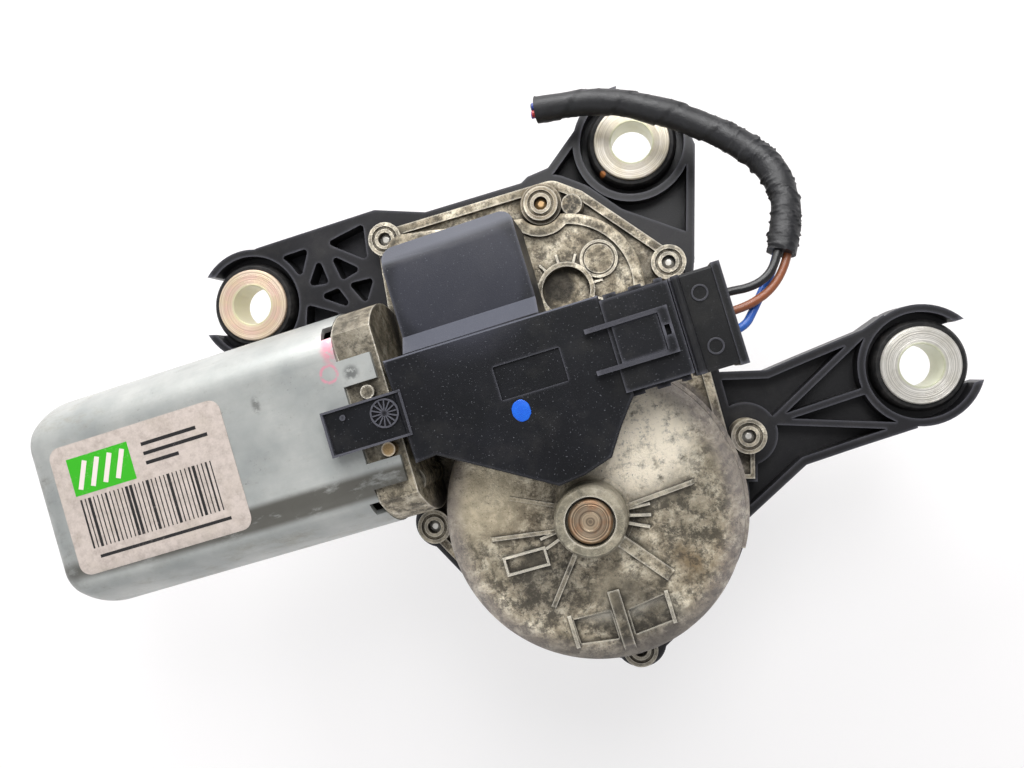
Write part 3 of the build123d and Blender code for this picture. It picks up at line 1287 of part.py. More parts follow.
with BuildPart() as plug_housing:
    with BuildSketch(Plane.YZ.offset(INSERT_X)):
        with Locations((SOCKET_Y, CONTACT_Z)):
            Rectangle(INSERT_WIDE, INSERT_HIGH)
    extrude(amount=SOCKET_RIGHT_X + 0.2 - INSERT_X)
    with BuildSketch(Plane.YZ.offset(SOCKET_RIGHT_X + 0.2)):
        with Locations((SOCKET_Y - 0.3, (PLUG_LOW_Z + PLUG_TOP_Z) / 2)):
            Rectangle(PLUG_WIDTH, PLUG_TOP_Z - PLUG_LOW_Z)
    extrude(amount=PLUG_END_X - SOCKET_RIGHT_X - 2.2)
    chamfer(plug_housing.edges().filter_by(Axis.X).group_by(Axis.Z)[-1], 0.6)
    with BuildSketch(Plane.YZ.offset(PLUG_END_X - 2.0)):
        with Locations((SOCKET_Y - 0.3, (PLUG_LOW_Z + PLUG_TOP_Z) / 2)):
            Rectangle(PLUG_WIDTH + 1.0, PLUG_TOP_Z - PLUG_LOW_Z + 0.9)
    extrude(amount=2.0)
    for y in WIRE_Y:
        with BuildSketch(Plane.YZ.offset(INSERT_X)):
            with Locations((y, CONTACT_Z)):
                Rectangle(3.8, 3.2)
        extrude(amount=CRIMP_END_X + 0.5 - INSERT_X, mode=Mode.SUBTRACT)
        with BuildSketch(Plane.YZ.offset(CRIMP_END_X)):
            with Locations((y, CONTACT_Z)):
                Circle(WIRE_D / 2 + 0.1)
        extrude(amount=PLUG_END_X - CRIMP_END_X, mode=Mode.SUBTRACT)
    with BuildSketch(Plane.XY.offset(PLUG_TOP_Z)):
        with Locations((29.2, -12.5), (29.2, -24.9)):
            Circle(1.9)
            Circle(1.5, mode=Mode.SUBTRACT)
    extrude(amount=0.3)
finish(plug_housing, "plug_housing")

with BuildPart() as plug_terminals:
    for y in WIRE_Y:
        with BuildSketch(Plane.YZ.offset(INSERT_X + 0.4)):
            with Locations((y, CONTACT_Z)):
                Rectangle(3.7, 3.1)
        extrude(amount=CRIMP_END_X - INSERT_X - 0.4)
        with BuildSketch(Plane.YZ.offset(INSERT_X)):
            with Locations((y, CONTACT_Z)):
                Rectangle(2.9, 0.9)
        extrude(amount=BLADE_END_X + 0.6 - INSERT_X, mode=Mode.SUBTRACT)
finish(plug_terminals, "plug_terminals")

BAR_R = 1.0
with BuildPart() as plug_lock_bar:
    with BuildSketch(Plane.XZ.offset(-SOCKET_Y + 0.3 - PLUG_WIDTH / 2)):
        with Locations((SOCKET_RIGHT_X + 1.6, PLUG_TOP_Z + BAR_R - 0.1)):
            Circle(BAR_R)
        with Locations((SOCKET_RIGHT_X + 1.6, PLUG_TOP_Z - 1)):
            Rectangle(4, 2, mode=Mode.SUBTRACT)
    extrude(amount=PLUG_WIDTH)
finish(plug_lock_bar, "plug_lock_bar")

# ---- cords: three wires into a taped bundle with a cut end --------------------------------------
BUNDLE_ROUTE = [
    (50.1, -8.8, 41.0),
    (53.2, -3.6, 40.0),
    (55.4, 2.9, 37.5),
    (55.6, 10.4, 34.5),
    (52.7, 17.7, 31.5),
    (46.5, 25.7, 28.5),
    (38.0, 33.5, 25.5),
    (28.1, 41.1, 23.0),
    (17.5, 45.7, 21.0),
    (6.0, 47.7, 19.5),
]


def corner_radii(route):
    """Largest tangent arc at each corner: 0.45 of its shorter run over the tangent of half its turn."""
    radii = []
    for before, here, after in zip(route, route[1:], route[2:]):
        run_in = Vector(*here) - Vector(*before)
        run_out = Vector(*after) - Vector(*here)
        half_turn = math.radians(run_in.get_angle(run_out)) / 2
        radii.append(0.45 * min(run_in.length, run_out.length) / math.tan(half_turn))
    return radii


def cord(route, diameter, label):
    """A plain round tube along straight runs joined by tangent arcs."""
    radii = corner_radii(route)
    print(label, "radii", [round(r, 1) for r in radii])
    with BuildPart() as tube:
        with BuildLine() as path:
            FilletPolyline(*route, radius=radii)
        with BuildSketch(Plane(origin=path.line @ 0, z_dir=path.line % 0)):
            Circle(diameter / 2)
        sweep(path=path.line)
    length = sum(edge.length for edge in path.edges())
    expected = math.pi * diameter**2 / 4 * length
    print(label, "length", round(length, 1), "volume", round(tube.part.volume, 1))
    print(label, "section times length", round(expected, 1))
    finish(tube, label)


WIRE_ROUTES = {
    "wire_black": [
        (CRIMP_END_X, WIRE_Y[0], CONTACT_Z),
        (36.0, WIRE_Y[0], CONTACT_Z),
        (40.6, -14.4, 43.3),
        (44.6, -13.6, 43.2),
        (47.611, -11.218, 42.82),
        (49.43, -8.167, 42.234),
    ],
    "wire_brown": [
        (CRIMP_END_X, WIRE_Y[1], CONTACT_Z),
        (36.0, WIRE_Y[1], CONTACT_Z),
        (40.4, -18.0, 42.9),
        (45.3, -16.3, 42.5),
        (49.534, -12.582, 41.686),
        (51.352, -9.531, 41.099),
    ],
    "wire_blue": [
        (CRIMP_END_X, WIRE_Y[2], CONTACT_Z),
        (37.0, WIRE_Y[2], CONTACT_Z),
        (40.6, -19.4, 41.0),
        (44.2, -15.4, 39.6),
        (47.553, -11.705, 40.107),
        (49.372, -8.654, 39.521),
    ],
}
cord(BUNDLE_ROUTE, BUNDLE_D, "harness_sleeve")
for name, route in WIRE_ROUTES.items():
    cord(route, WIRE_D, name)
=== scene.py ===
# %% [markdown]
# # A rear wiper motor, finished for a portrait
# The CAD model gives every solid its true shape and place. This notebook adds what CAD leaves out: the metal,
# plastic, rubber and grime of a part that has spent years inside a tailgate, its label and paint marks, and the
# soft light of a table-top studio.

# %% Load the frame
import json
import math
import random

import bmesh
import bpy
from mathutils import Euler, Matrix, Vector, kdtree, noise


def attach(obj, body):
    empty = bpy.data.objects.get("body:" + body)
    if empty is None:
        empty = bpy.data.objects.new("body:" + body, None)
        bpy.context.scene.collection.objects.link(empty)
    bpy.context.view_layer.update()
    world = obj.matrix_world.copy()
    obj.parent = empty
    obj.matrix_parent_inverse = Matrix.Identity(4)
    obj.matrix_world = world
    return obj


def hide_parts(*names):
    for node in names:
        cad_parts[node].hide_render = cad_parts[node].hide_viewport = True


MM = 0.001
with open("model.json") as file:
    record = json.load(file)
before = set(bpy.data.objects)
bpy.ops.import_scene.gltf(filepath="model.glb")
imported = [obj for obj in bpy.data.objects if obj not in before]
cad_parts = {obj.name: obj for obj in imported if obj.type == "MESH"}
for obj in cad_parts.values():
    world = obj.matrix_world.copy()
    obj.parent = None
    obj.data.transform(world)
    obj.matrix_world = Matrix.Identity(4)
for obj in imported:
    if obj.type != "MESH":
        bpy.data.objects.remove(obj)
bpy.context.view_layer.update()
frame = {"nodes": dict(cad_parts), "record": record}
nodes = frame["nodes"]

# %% [markdown]
# ## Camera
# The motor lies on its face and is seen from close above, nearly along its output shaft. A short lens at a
# quarter of a metre gives the strong perspective that makes the plug and the can look larger than the arms.

# %% Place the camera
LENS = 30.94
CAMERA_AT = (8.557, -25.013, 249.276)
CAMERA_TURN = (-0.6946, 7.411, -16.8697)

camera_data = bpy.data.cameras.new("camera")
camera_data.lens = LENS
camera_data.sensor_width = 36
camera_data.clip_start = 0.01
camera = bpy.data.objects.new("camera", camera_data)
camera.location = Vector(CAMERA_AT) * MM
camera.rotation_euler = Euler([math.radians(angle) for angle in CAMERA_TURN])
bpy.context.scene.collection.objects.link(camera)
bpy.context.scene.camera = camera
print("camera", [round(v, 4) for v in camera.location])

# %% [markdown]
# ## Wires
# Three thin wires leave the plug. Each is a smooth NURBS curve whose control points are the CAD route, with a
# round bevel as its skin, so the same points that drive the solids also lay the visible wires. The finished skin
# is taken as a mesh, so that its box and its place are read the same way as every other piece's.

# %% Lay the wires
WIRE_D = 2.0
BUNDLE_D = 6.8
ROUTES = {
    "harness_sleeve": [
        (50.1, -8.8, 41.0),
        (53.2, -3.6, 40.0),
        (55.4, 2.9, 37.5),
        (55.6, 10.4, 34.5),
        (52.7, 17.7, 31.5),
        (46.5, 25.7, 28.5),
        (38.0, 33.5, 25.5),
        (28.1, 41.1, 23.0),
        (17.5, 45.7, 21.0),
        (6.0, 47.7, 19.5),
    ],
    "wire_black": [
        (32.0, -13.8, 43.0),
        (36.0, -13.8, 43.0),
        (40.6, -14.4, 43.3),
        (44.6, -13.6, 43.2),
        (47.611, -11.218, 42.82),
        (49.43, -8.167, 42.234),
    ],
    "wire_brown": [
        (32.0, -18.4, 43.0),
        (36.0, -18.4, 43.0),
        (40.4, -18.0, 42.9),
        (45.3, -16.3, 42.5),
        (49.534, -12.582, 41.686),
        (51.352, -9.531, 41.099),
    ],
    "wire_blue": [
        (32.0, -23.0, 43.0),
        (37.0, -23.0, 43.0),
        (40.6, -19.4, 41.0),
        (44.2, -15.4, 39.6),
        (47.553, -11.705, 40.107),
        (49.372, -8.654, 39.521),
    ],
}


def route_curve(name, diameter, steps=12, round_steps=6):
    """The smooth curve along a route, with a round bevel of this diameter in millimetres."""
    curve = bpy.data.curves.new(name + "_cord", "CURVE")
    curve.dimensions = "3D"
    curve.bevel_depth = diameter / 2 * MM
    curve.bevel_resolution = round_steps
    curve.resolution_u = steps
    curve.use_fill_caps = True
    route = ROUTES[name]
    spline = curve.splines.new("NURBS")
    spline.points.add(len(route) - 1)
    for point, place in zip(spline.points, route):
        point.co = (*(Vector(place) * MM), 1)
    spline.order_u = 3
    spline.use_endpoint_u = True
    return bpy.data.objects.new(name + "_cord", curve)


def line_points(piece):
    """Points along the bare spline of a curve, as Blender's own mesh of it gives them."""
    bare = piece.copy()
    bare.data = piece.data.copy()
    bare.data.bevel_depth = 0
    mesh = bpy.data.meshes.new_from_object(bare)
    points = [vertex.co.copy() for vertex in mesh.vertices]
    bpy.data.objects.remove(bare)
    return points


def line_length(points):
    """Length of a line through these points."""
    return sum((b - a).length for a, b in zip(points, points[1:]))


def smooth(mesh):
    """Shade all faces of a mesh as one smooth skin."""
    mesh.polygons.foreach_set("use_smooth", [True] * len(mesh.polygons))


def add_piece(piece, body="motor_body"):
    """Put a finished piece in the scene and let it ride on a body."""
    bpy.context.scene.collection.objects.link(piece)
    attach(piece, body)
    return piece


WIRES = ("wire_black", "wire_brown", "wire_blue")
cords = {}
for name in WIRES:
    guide = route_curve(name, WIRE_D)
    print(name, "length", round(line_length(line_points(guide)) / MM, 1), "mm")
    skin = bpy.data.meshes.new_from_object(guide)
    smooth(skin)
    bpy.data.objects.remove(guide)
    cords[name] = add_piece(bpy.data.objects.new(name + "_cord", skin))
    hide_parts(name)

# %% [markdown]
# ## Taped harness
# The bundle is wound with black cloth tape. Each turn laps over the one before and leaves a low step, and where the
# bundle bends the tape gathers in creases. A plain bevelled curve would be as smooth as a hose, so its mesh is
# taken and every point is moved in or out by the step of its turn and by a noise stretched along the winding.
# The creases are strong near the plug, where the bundle bends, and fade towards the straight end.

# %% Wind the tape
TAPE_PITCH = 13.0
TAPE_STEP = 0.3
CREASE = 0.55
CREASES_PER_MM = 0.3
CREASE_SHARPNESS = 5
SWELL = 0.4
SWELLS_PER_MM = 0.1
BEND_END = 40
BEND_FADE = 10
STRAIGHT_CREASE = 0.25
CAP_MIDDLE = 1.0


def wound_noise(along, turn, radius):
    """A smooth noise along a tube and round it, with no seam where the turn closes."""
    return noise.noise(Vector((along, math.cos(turn) * radius, math.sin(turn) * radius)))


def tape_height(along, turn, bend):
    """How far the tape stands out, in millimetres, at a distance along the bundle and a turn round it."""
    phase = (along / TAPE_PITCH + turn / (2 * math.pi)) % 1.0
    lap = TAPE_STEP * (1 - phase) ** 2
    slant = along + turn * TAPE_PITCH / (2 * math.pi)
    fold = wound_noise(slant * CREASES_PER_MM, turn, 0.7)
    sharp = max(1 - abs(fold) * CREASE_SHARPNESS, 0)
    swell = wound_noise(along * SWELLS_PER_MM, turn, 0.5)
    return lap + CREASE * bend * sharp**3 + SWELL * swell


def taped_bundle(name, diameter):
    """The wound bundle as a mesh tube along its route, with the points that it follows."""
    guide = route_curve(name, diameter - TAPE_STEP, steps=30, round_steps=9)
    path = line_points(guide)
    mesh = bpy.data.meshes.new_from_object(guide)
    bpy.data.objects.remove(guide)
    distances = [0.0]
    for a, b in zip(path, path[1:]):
        distances.append(distances[-1] + (b - a).length / MM)
    finder = kdtree.KDTree(len(path))
    for index, point in enumerate(path):
        finder.insert(point, index)
    finder.balance()
    for vertex in mesh.vertices:
        centre, index, _ = finder.find(vertex.co)
        before, after = path[max(index - 1, 0)], path[min(index + 1, len(path) - 1)]
        ahead = (after - before).normalized()
        out = vertex.co - centre
        out -= ahead * out.dot(ahead)
        if out.length < CAP_MIDDLE * MM:
            continue
        up = (Vector((0, 0, 1)) - ahead * ahead.z).normalized()
        turn = math.atan2(out.dot(ahead.cross(up)), out.dot(up))
        along = distances[index]
        bent = min(max((BEND_END - along) / BEND_FADE, 0), 1)
        bend = STRAIGHT_CREASE + (1 - STRAIGHT_CREASE) * bent
        vertex.co += out.normalized() * tape_height(along, turn, bend) * MM
    smooth(mesh)
    return bpy.data.objects.new(name + "_cord", mesh), path


harness, harness_path = taped_bundle("harness_sleeve", BUNDLE_D)
cords["harness_sleeve"] = add_piece(harness)
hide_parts("harness_sleeve")
print("harness length", round(line_length(harness_path) / MM, 1), "mm,", len(harness.data.polygons), "faces")

# %% [markdown]
# ## Cut ends of the wires
# Where the harness was cut, the copper and the coloured insulation of its wires look out of the tape. Each end is
# a short stub: a circle extruded and inset, so that the copper stands inside its ring of insulation.

# %% Cut wire ends
STUB_R = 0.95
STUB_SUNK = 1.5
INSULATION = 0.4
COPPER_PROUD = 0.12
STUBS = {
    "cut_end_violet": (0.9, -0.9, 1.5),
    "cut_end_red": (1.2, 0.9, 0.9),
    "cut_end_dark": (-1.1, -0.6, 1.3),
    "cut_end_blue": (-0.6, 1.2, 0.7),
}
end_point = harness_path[-1]
end_ahead = (harness_path[-1] - harness_path[-3]).normalized()
end_turn = end_ahead.to_track_quat("Z", "Y").to_matrix().to_4x4()


def extrude_up(shape, height):
    """Give every face of a flat shape a wall of this height in millimetres."""
    made = bmesh.ops.extrude_face_region(shape, geom=shape.faces[:])
    lifted = [item for item in made["geom"] if isinstance(item, bmesh.types.BMVert)]
    bmesh.ops.translate(shape, verts=lifted, vec=(0, 0, height * MM))


def to_piece(name, shape, *finishes_in_order):
    """A piece from a bmesh, with one material for each of its slots."""
    mesh = bpy.data.meshes.new(name)
    shape.to_mesh(mesh)
    shape.free()
    for finish in finishes_in_order:
        mesh.materials.append(finish)
    return add_piece(bpy.data.objects.new(name, mesh))


cut_ends = {}
for name, (across, up, reach) in STUBS.items():
    stub = bmesh.new()
    bmesh.ops.create_circle(stub, cap_ends=True, segments=12, radius=STUB_R * MM)
    extrude_up(stub, reach + STUB_SUNK)
    cap = [face for face in stub.faces if face.normal.z > 0.9 and face.calc_center_median().z > 0.5 * MM]
    bmesh.ops.inset_region(stub, faces=cap, thickness=INSULATION * MM, depth=COPPER_PROUD * MM)
    bmesh.ops.recalc_face_normals(stub, faces=stub.faces)
    bmesh.ops.translate(stub, verts=stub.verts, vec=(across * MM, up * MM, -STUB_SUNK * MM))
    bmesh.ops.transform(stub, matrix=Matrix.Translation(end_point) @ end_turn, verts=stub.verts)
    cut_ends[name] = to_piece(name, stub)
print("cut ends", len(cut_ends))

# %% [markdown]
# ## The free cord
# The bundle can be bent by hand, so it is a cord. The three wires are too short to be cords of their own.

print("declared one cord with", len(WIRES) + len(cut_ends), "pieces on it")

# %% [markdown]
# ## Helpers for materials
# Colours are written as sRGB hex values, the way a colour picker shows them, and turned to linear light once.
# A second helper adds a node with its settings and its links in one call, so that a material reads from top to
# bottom like a recipe.


# %% Colours and nodes
def linear(code):
    """An sRGB hex colour as linear red, green, blue and alpha."""
    values = [int(code[i : i + 2], 16) / 255 for i in (1, 3, 5)]
    return (*(v / 12.92 if v <= 0.04045 else ((v + 0.055) / 1.055) ** 2.4 for v in values), 1.0)


def add_node(tree, kind, inputs=None, stops=None, **settings):
    """A shader node with its settings, its inputs as values or links, and the stops of a colour ramp."""
    node = tree.nodes.new("ShaderNode" + kind)
    for key, value in settings.items():
        setattr(node, key, value)
    for key, value in (inputs or {}).items():
        if isinstance(value, bpy.types.NodeSocket):
            tree.links.new(value, node.inputs[key])
        else:
            node.inputs[key].default_value = value
    for index, (place, colour) in enumerate(stops or []):
        elements = node.color_ramp.elements
        element = elements[index] if index < 2 else elements.new(place)
        element.position = place
        element.color = linear(colour)
    return node


def new_material(name):
    """An empty material with its output, a principled shader and object coordinates."""
    material = bpy.data.materials.new(name)
    material.use_nodes = True
    tree = material.node_tree
    tree.nodes.clear()
    output = add_node(tree, "OutputMaterial")
    shader = add_node(tree, "BsdfPrincipled")
    tree.links.new(shader.outputs[0], output.inputs["Surface"])
    place = add_node(tree, "TexCoord").outputs["Object"]
    return material, tree, shader, place


def per_mm(size):
    """Texture scale whose features are about this many millimetres across."""
    return 1 / (size * MM)


print("mid grey in linear light", round(linear("#808080")[0], 3))

# %% [markdown]
# ## Masks and coats
# These small recipes are shared by every finish. A mask is a number between 0 and 1 over the surface: soft
# patches of a given size, a spot at a place on the object, rings round an axis, and corners or outer edges that
# the render finds by itself. Coats then lay one colour over another, each as far as its masks let it through.


# %% Masks and coats
def patches(tree, place, size, low, high, detail=6, rough=0.65, stretch=(1, 1, 1)):
    """Soft patches about this size in millimetres: 0 under the low level of a noise, 1 over the high one."""
    pulled = add_node(tree, "Mapping", {"Vector": place, "Scale": stretch, "Location": (size * MM, 0, 0)})
    cloud = add_node(
        tree, "TexNoise", {"Vector": pulled.outputs[0], "Scale": per_mm(size), "Detail": detail, "Roughness": rough}
    )
    mask = add_node(tree, "MapRange", {"Value": cloud.outputs["Fac"], "From Min": low, "From Max": high})
    return mask.outputs[0]


def spot(tree, place, centre, inner, outer, stretch=(1, 1, 0)):
    """1 within the inner distance of a point of the frame and 0 beyond the outer, in millimetres."""
    shift = [-c * s * MM for c, s in zip((*centre, 0), stretch)]
    moved = add_node(tree, "Mapping", {"Vector": place, "Location": shift, "Scale": stretch})
    away = add_node(tree, "VectorMath", {0: moved.outputs[0]}, operation="LENGTH")
    mask = add_node(
        tree,
        "MapRange",
        {"Value": away.outputs["Value"], "From Min": inner * MM, "From Max": outer * MM, "To Min": 1, "To Max": 0},
        interpolation_type="SMOOTHSTEP",
    )
    return mask.outputs[0]


def rings(tree, place, centre, width, low, high, detail=2):
    """Uneven rings round an upright axis, about this many millimetres wide, as a lathe leaves them."""
    shift = (-centre[0] * MM, -centre[1] * MM, 0)
    moved = add_node(tree, "Mapping", {"Vector": place, "Location": shift, "Scale": (1, 1, 0)})
    away = add_node(tree, "VectorMath", {0: moved.outputs[0]}, operation="LENGTH")
    wave = add_node(
        tree,
        "TexNoise",
        {"W": away.outputs["Value"], "Scale": per_mm(width), "Detail": detail},
        noise_dimensions="1D",
    )
    mask = add_node(tree, "MapRange", {"Value": wave.outputs["Fac"], "From Min": low, "From Max": high})
    return mask.outputs[0]


def hollows(tree, reach, low, high, inside=False):
    """1 deep in corners and pockets, or with inside, on outer edges, found by looking round for the piece itself."""
    shut = add_node(tree, "AmbientOcclusion", {"Distance": reach * MM}, samples=6, inside=inside, only_local=True)
    mask = add_node(
        tree, "MapRange", {"Value": shut.outputs["AO"], "From Min": high, "From Max": low, "To Min": 0, "To Max": 1}
    )
    return mask.outputs[0]


def marked(tree, place, marks):
    """Coats at their own places: a centre, an inner and an outer distance, an amount, a colour and more masks."""
    layers = []
    for centre, inner, outer, amount, colour, *masks in marks:
        layers.append(([spot(tree, place, centre, inner, outer), *masks], amount, colour))
    return layers


def coats(tree, base, layers):
    """Lay coats over a base colour: each has its masks, its amount and its colour."""
    for masks, amount, colour in layers:
        share = masks[0]
        for mask in masks[1:]:
            share = add_node(tree, "Math", {0: share, 1: mask}, operation="MULTIPLY").outputs[0]
        share = add_node(tree, "Math", {0: share, 1: amount}, operation="MULTIPLY").outputs[0]
        mixed = {"Factor": share, "A": base, "B": linear(colour)}
        base = add_node(tree, "Mix", mixed, data_type="RGBA").outputs[2]
    return base


def relief(tree, shader, heights):
    """Add bumps to a shader, each from its height, its strength and how many millimetres deep it is."""
    below = None
    for height, strength, depth in heights:
        inputs = {"Height": height, "Strength": strength, "Distance": depth * MM}
        if below:
            inputs["Normal"] = below
        below = add_node(tree, "Bump", inputs).outputs[0]
    tree.links.new(below, shader.inputs["Normal"])


# %% [markdown]
# ## Pressure die-cast aluminium
# The gear housing is pressure die-cast: a dull grey skin that oxidises to a warm, stony colour. Brown stains lie on
# it in places and some of its sectors are darker, dark specks sit in the pores, its corners and pockets are darkened
# with painted shade, and its edges are rubbed bright and carry a painted highlight. The rolled rim of the dome is a
# smooth, lilac-grey band painted as a highlight, and a pale patch on the upper right of the dome is a painted
# highlight over bare metal. A painter would lay these one over another, and so does this material: a cloudy skin
# first, then stains, darker sectors and painted highlights at their own places, then the painted shade of the
# corners, the pores and the bright edges.

# %% Die-cast aluminium
WHEEL = (-9.3, -55.5)
TOP_EAR = (0.0, 24.3)


def cast_aluminium():
    material, tree, shader, place = new_material("pressure die-cast aluminium")
    cloudy = {"Vector": place, "Scale": per_mm(7), "Detail": 10, "Roughness": 0.74, "Distortion": 0.4}
    cloud = add_node(tree, "TexNoise", cloudy)
    shades = [(0.37, "#675e4f"), (0.62, "#efe5ce"), (0.44, "#948974"), (0.52, "#c0b49d")]
    skin = add_node(tree, "ValToRGB", {"Fac": cloud.outputs["Fac"]}, stops=shades)
    dark_patches = patches(tree, place, 3.2, 0.47, 0.57, 10, 0.8)
    broad_patches = patches(tree, place, 13, 0.46, 0.62, 6, 0.7)
    bare_and_sheen_patches = patches(tree, place, 2.6, 0.32, 0.5, 8, 0.72)
    pores = patches(tree, place, 0.6, 0.6, 0.7, 4)
    grit = patches(tree, place, 0.4, 0.45, 0.75, 3)
    end_shield = spot(tree, place, (-55, -6), 10, 26, (1.8, 0.7, 0))
    rim = spot(tree, place, WHEEL, 30.5, 35.5)
    off_rim = add_node(tree, "Math", {0: 1.0, 1: rim}, operation="SUBTRACT").outputs[0]
    on_dome = spot(tree, place, WHEEL, 39, 41)
    # brown stains, and darker coats on three sectors of the dome
    stains_and_dark_sectors = [
        ((-28, -50), 3, 11, 0.6, "#7d6442", dark_patches),
        ((14, -74), 3, 15, 0.6, "#7c6340", broad_patches),
        ((-3, -80), 2, 8, 0.4, "#8d7650", broad_patches),
        ((-25, -68), 5, 14, 0.85, "#37332b", dark_patches),
        ((13, -62), 4, 12, 0.75, "#4a4437", dark_patches),
        ((-9, -88), 6, 15, 0.8, "#413b31", dark_patches),
    ]
    sectors_and_highlight = [
        ((-20, -65), 4, 13, 0.8, "#3d372c", broad_patches),
        # painted highlight on the upper right of the dome, over patches of bare metal
        ((6, -41), 8, 18, 0.95, "#fff4df", bare_and_sheen_patches),
        ((-33, -45), 4, 14, 0.6, "#dccdae"),
        ((-9, -75), 2, 8, 0.4, "#cfc2a8"),
        ((-25, -69), 4, 13, 0.6, "#3f3a31"),
        ((-4, -84), 6, 16, 0.7, "#3a352c", broad_patches),
        ((-6, -83), 5, 14, 0.6, "#38342c"),
        ((14, -60), 4, 13, 0.4, "#4a463a"),
    ]
    # the rolled rim of the dome: a smooth lilac-grey band, painted as a highlight along the rim
    rim_band_and_highlight = [([off_rim, on_dome], 0.45, "#a39a98")]
    small_places = [
        ((-14, -92), 10, 34, 0.6, "#554f45", off_rim),
        (TOP_EAR, 5.2, 7.5, 0.75, "#75603f", rings(tree, place, TOP_EAR, 0.8, 0.35, 0.6)),
        ((7.7, 21.4), 2.4, 4.2, 0.9, "#3c3831", dark_patches),  # painted shade in the pit beside the top ear
        (WHEEL, 8.6, 9.4, 0.55, "#7d7867"),  # the foot of the hub
        ((-1.6, 1.9), 3.2, 5.2, 0.85, "#211e1b"),  # painted shade in the well in the plateau
        ((-50.6, -26.0), 1.7, 2.2, 0.9, "#a8895a"),  # the pin in the end shield
    ]
    corner_shade_pores_and_edges = [
        # painted shade: corners and pockets are darker, found by the occlusion of the piece itself
        ([hollows(tree, 4.0, 0.4, 0.9)], 0.9, "#29251f"),
        ([pores, dark_patches], 0.9, "#2c2822"),
        ([pores], 0.35, "#2c2822"),
        # edges rubbed bright, with a painted highlight along them
        ([hollows(tree, 0.8, 0.35, 0.75, inside=True)], 0.85, "#f3ecdc"),
    ]
    layers = [([broad_patches], 0.55, "#726b58"), ([end_shield], 0.75, "#544f44")]
    layers += marked(tree, place, stains_and_dark_sectors) + [([dark_patches], 0.8, "#3b352a")] + marked(tree, place, sectors_and_highlight)
    layers += rim_band_and_highlight + marked(tree, place, small_places) + corner_shade_pores_and_edges
    colour = coats(tree, skin.outputs["Color"], layers)
    tree.links.new(colour, shader.inputs["Base Color"])
    # Bare pale metal reflects and is smoother; the darker a place is, from stains or from painted shade, the rougher
    # and less metallic it is.
    lightness = add_node(tree, "RGBToBW", {"Color": colour}).outputs[0]
    metal = add_node(tree, "MapRange", {"Value": lightness, "From Max": 0.7, "To Max": 0.4})
    tree.links.new(metal.outputs[0], shader.inputs["Metallic"])
    rough = add_node(tree, "MapRange", {"Value": lightness, "From Max": 0.6, "To Min": 0.7, "To Max": 0.34})
    tree.links.new(rough.outputs[0], shader.inputs["Roughness"])
    relief(tree, shader, [(cloud.outputs["Fac"], 0.7, 0.9), (grit, 0.5, 0.14)])
    return material


finishes = {"cast_aluminium": cast_aluminium()}
print("made", finishes["cast_aluminium"].name)


# %% [markdown]
# ## Galvanised sheet
# The motor can is deep-drawn from zinc-coated steel. The zinc is a pale, slightly blue grey and quite matt, with
# faint long drawing marks along the axis. Oil has collected dirt in a dark band under the lower edge of the flat,
# the closed end is scuffed, and an inspector left a ring and a splash of thin red ink.

# %% Galvanised sheet
STAMP = (-59.6, -4.6)


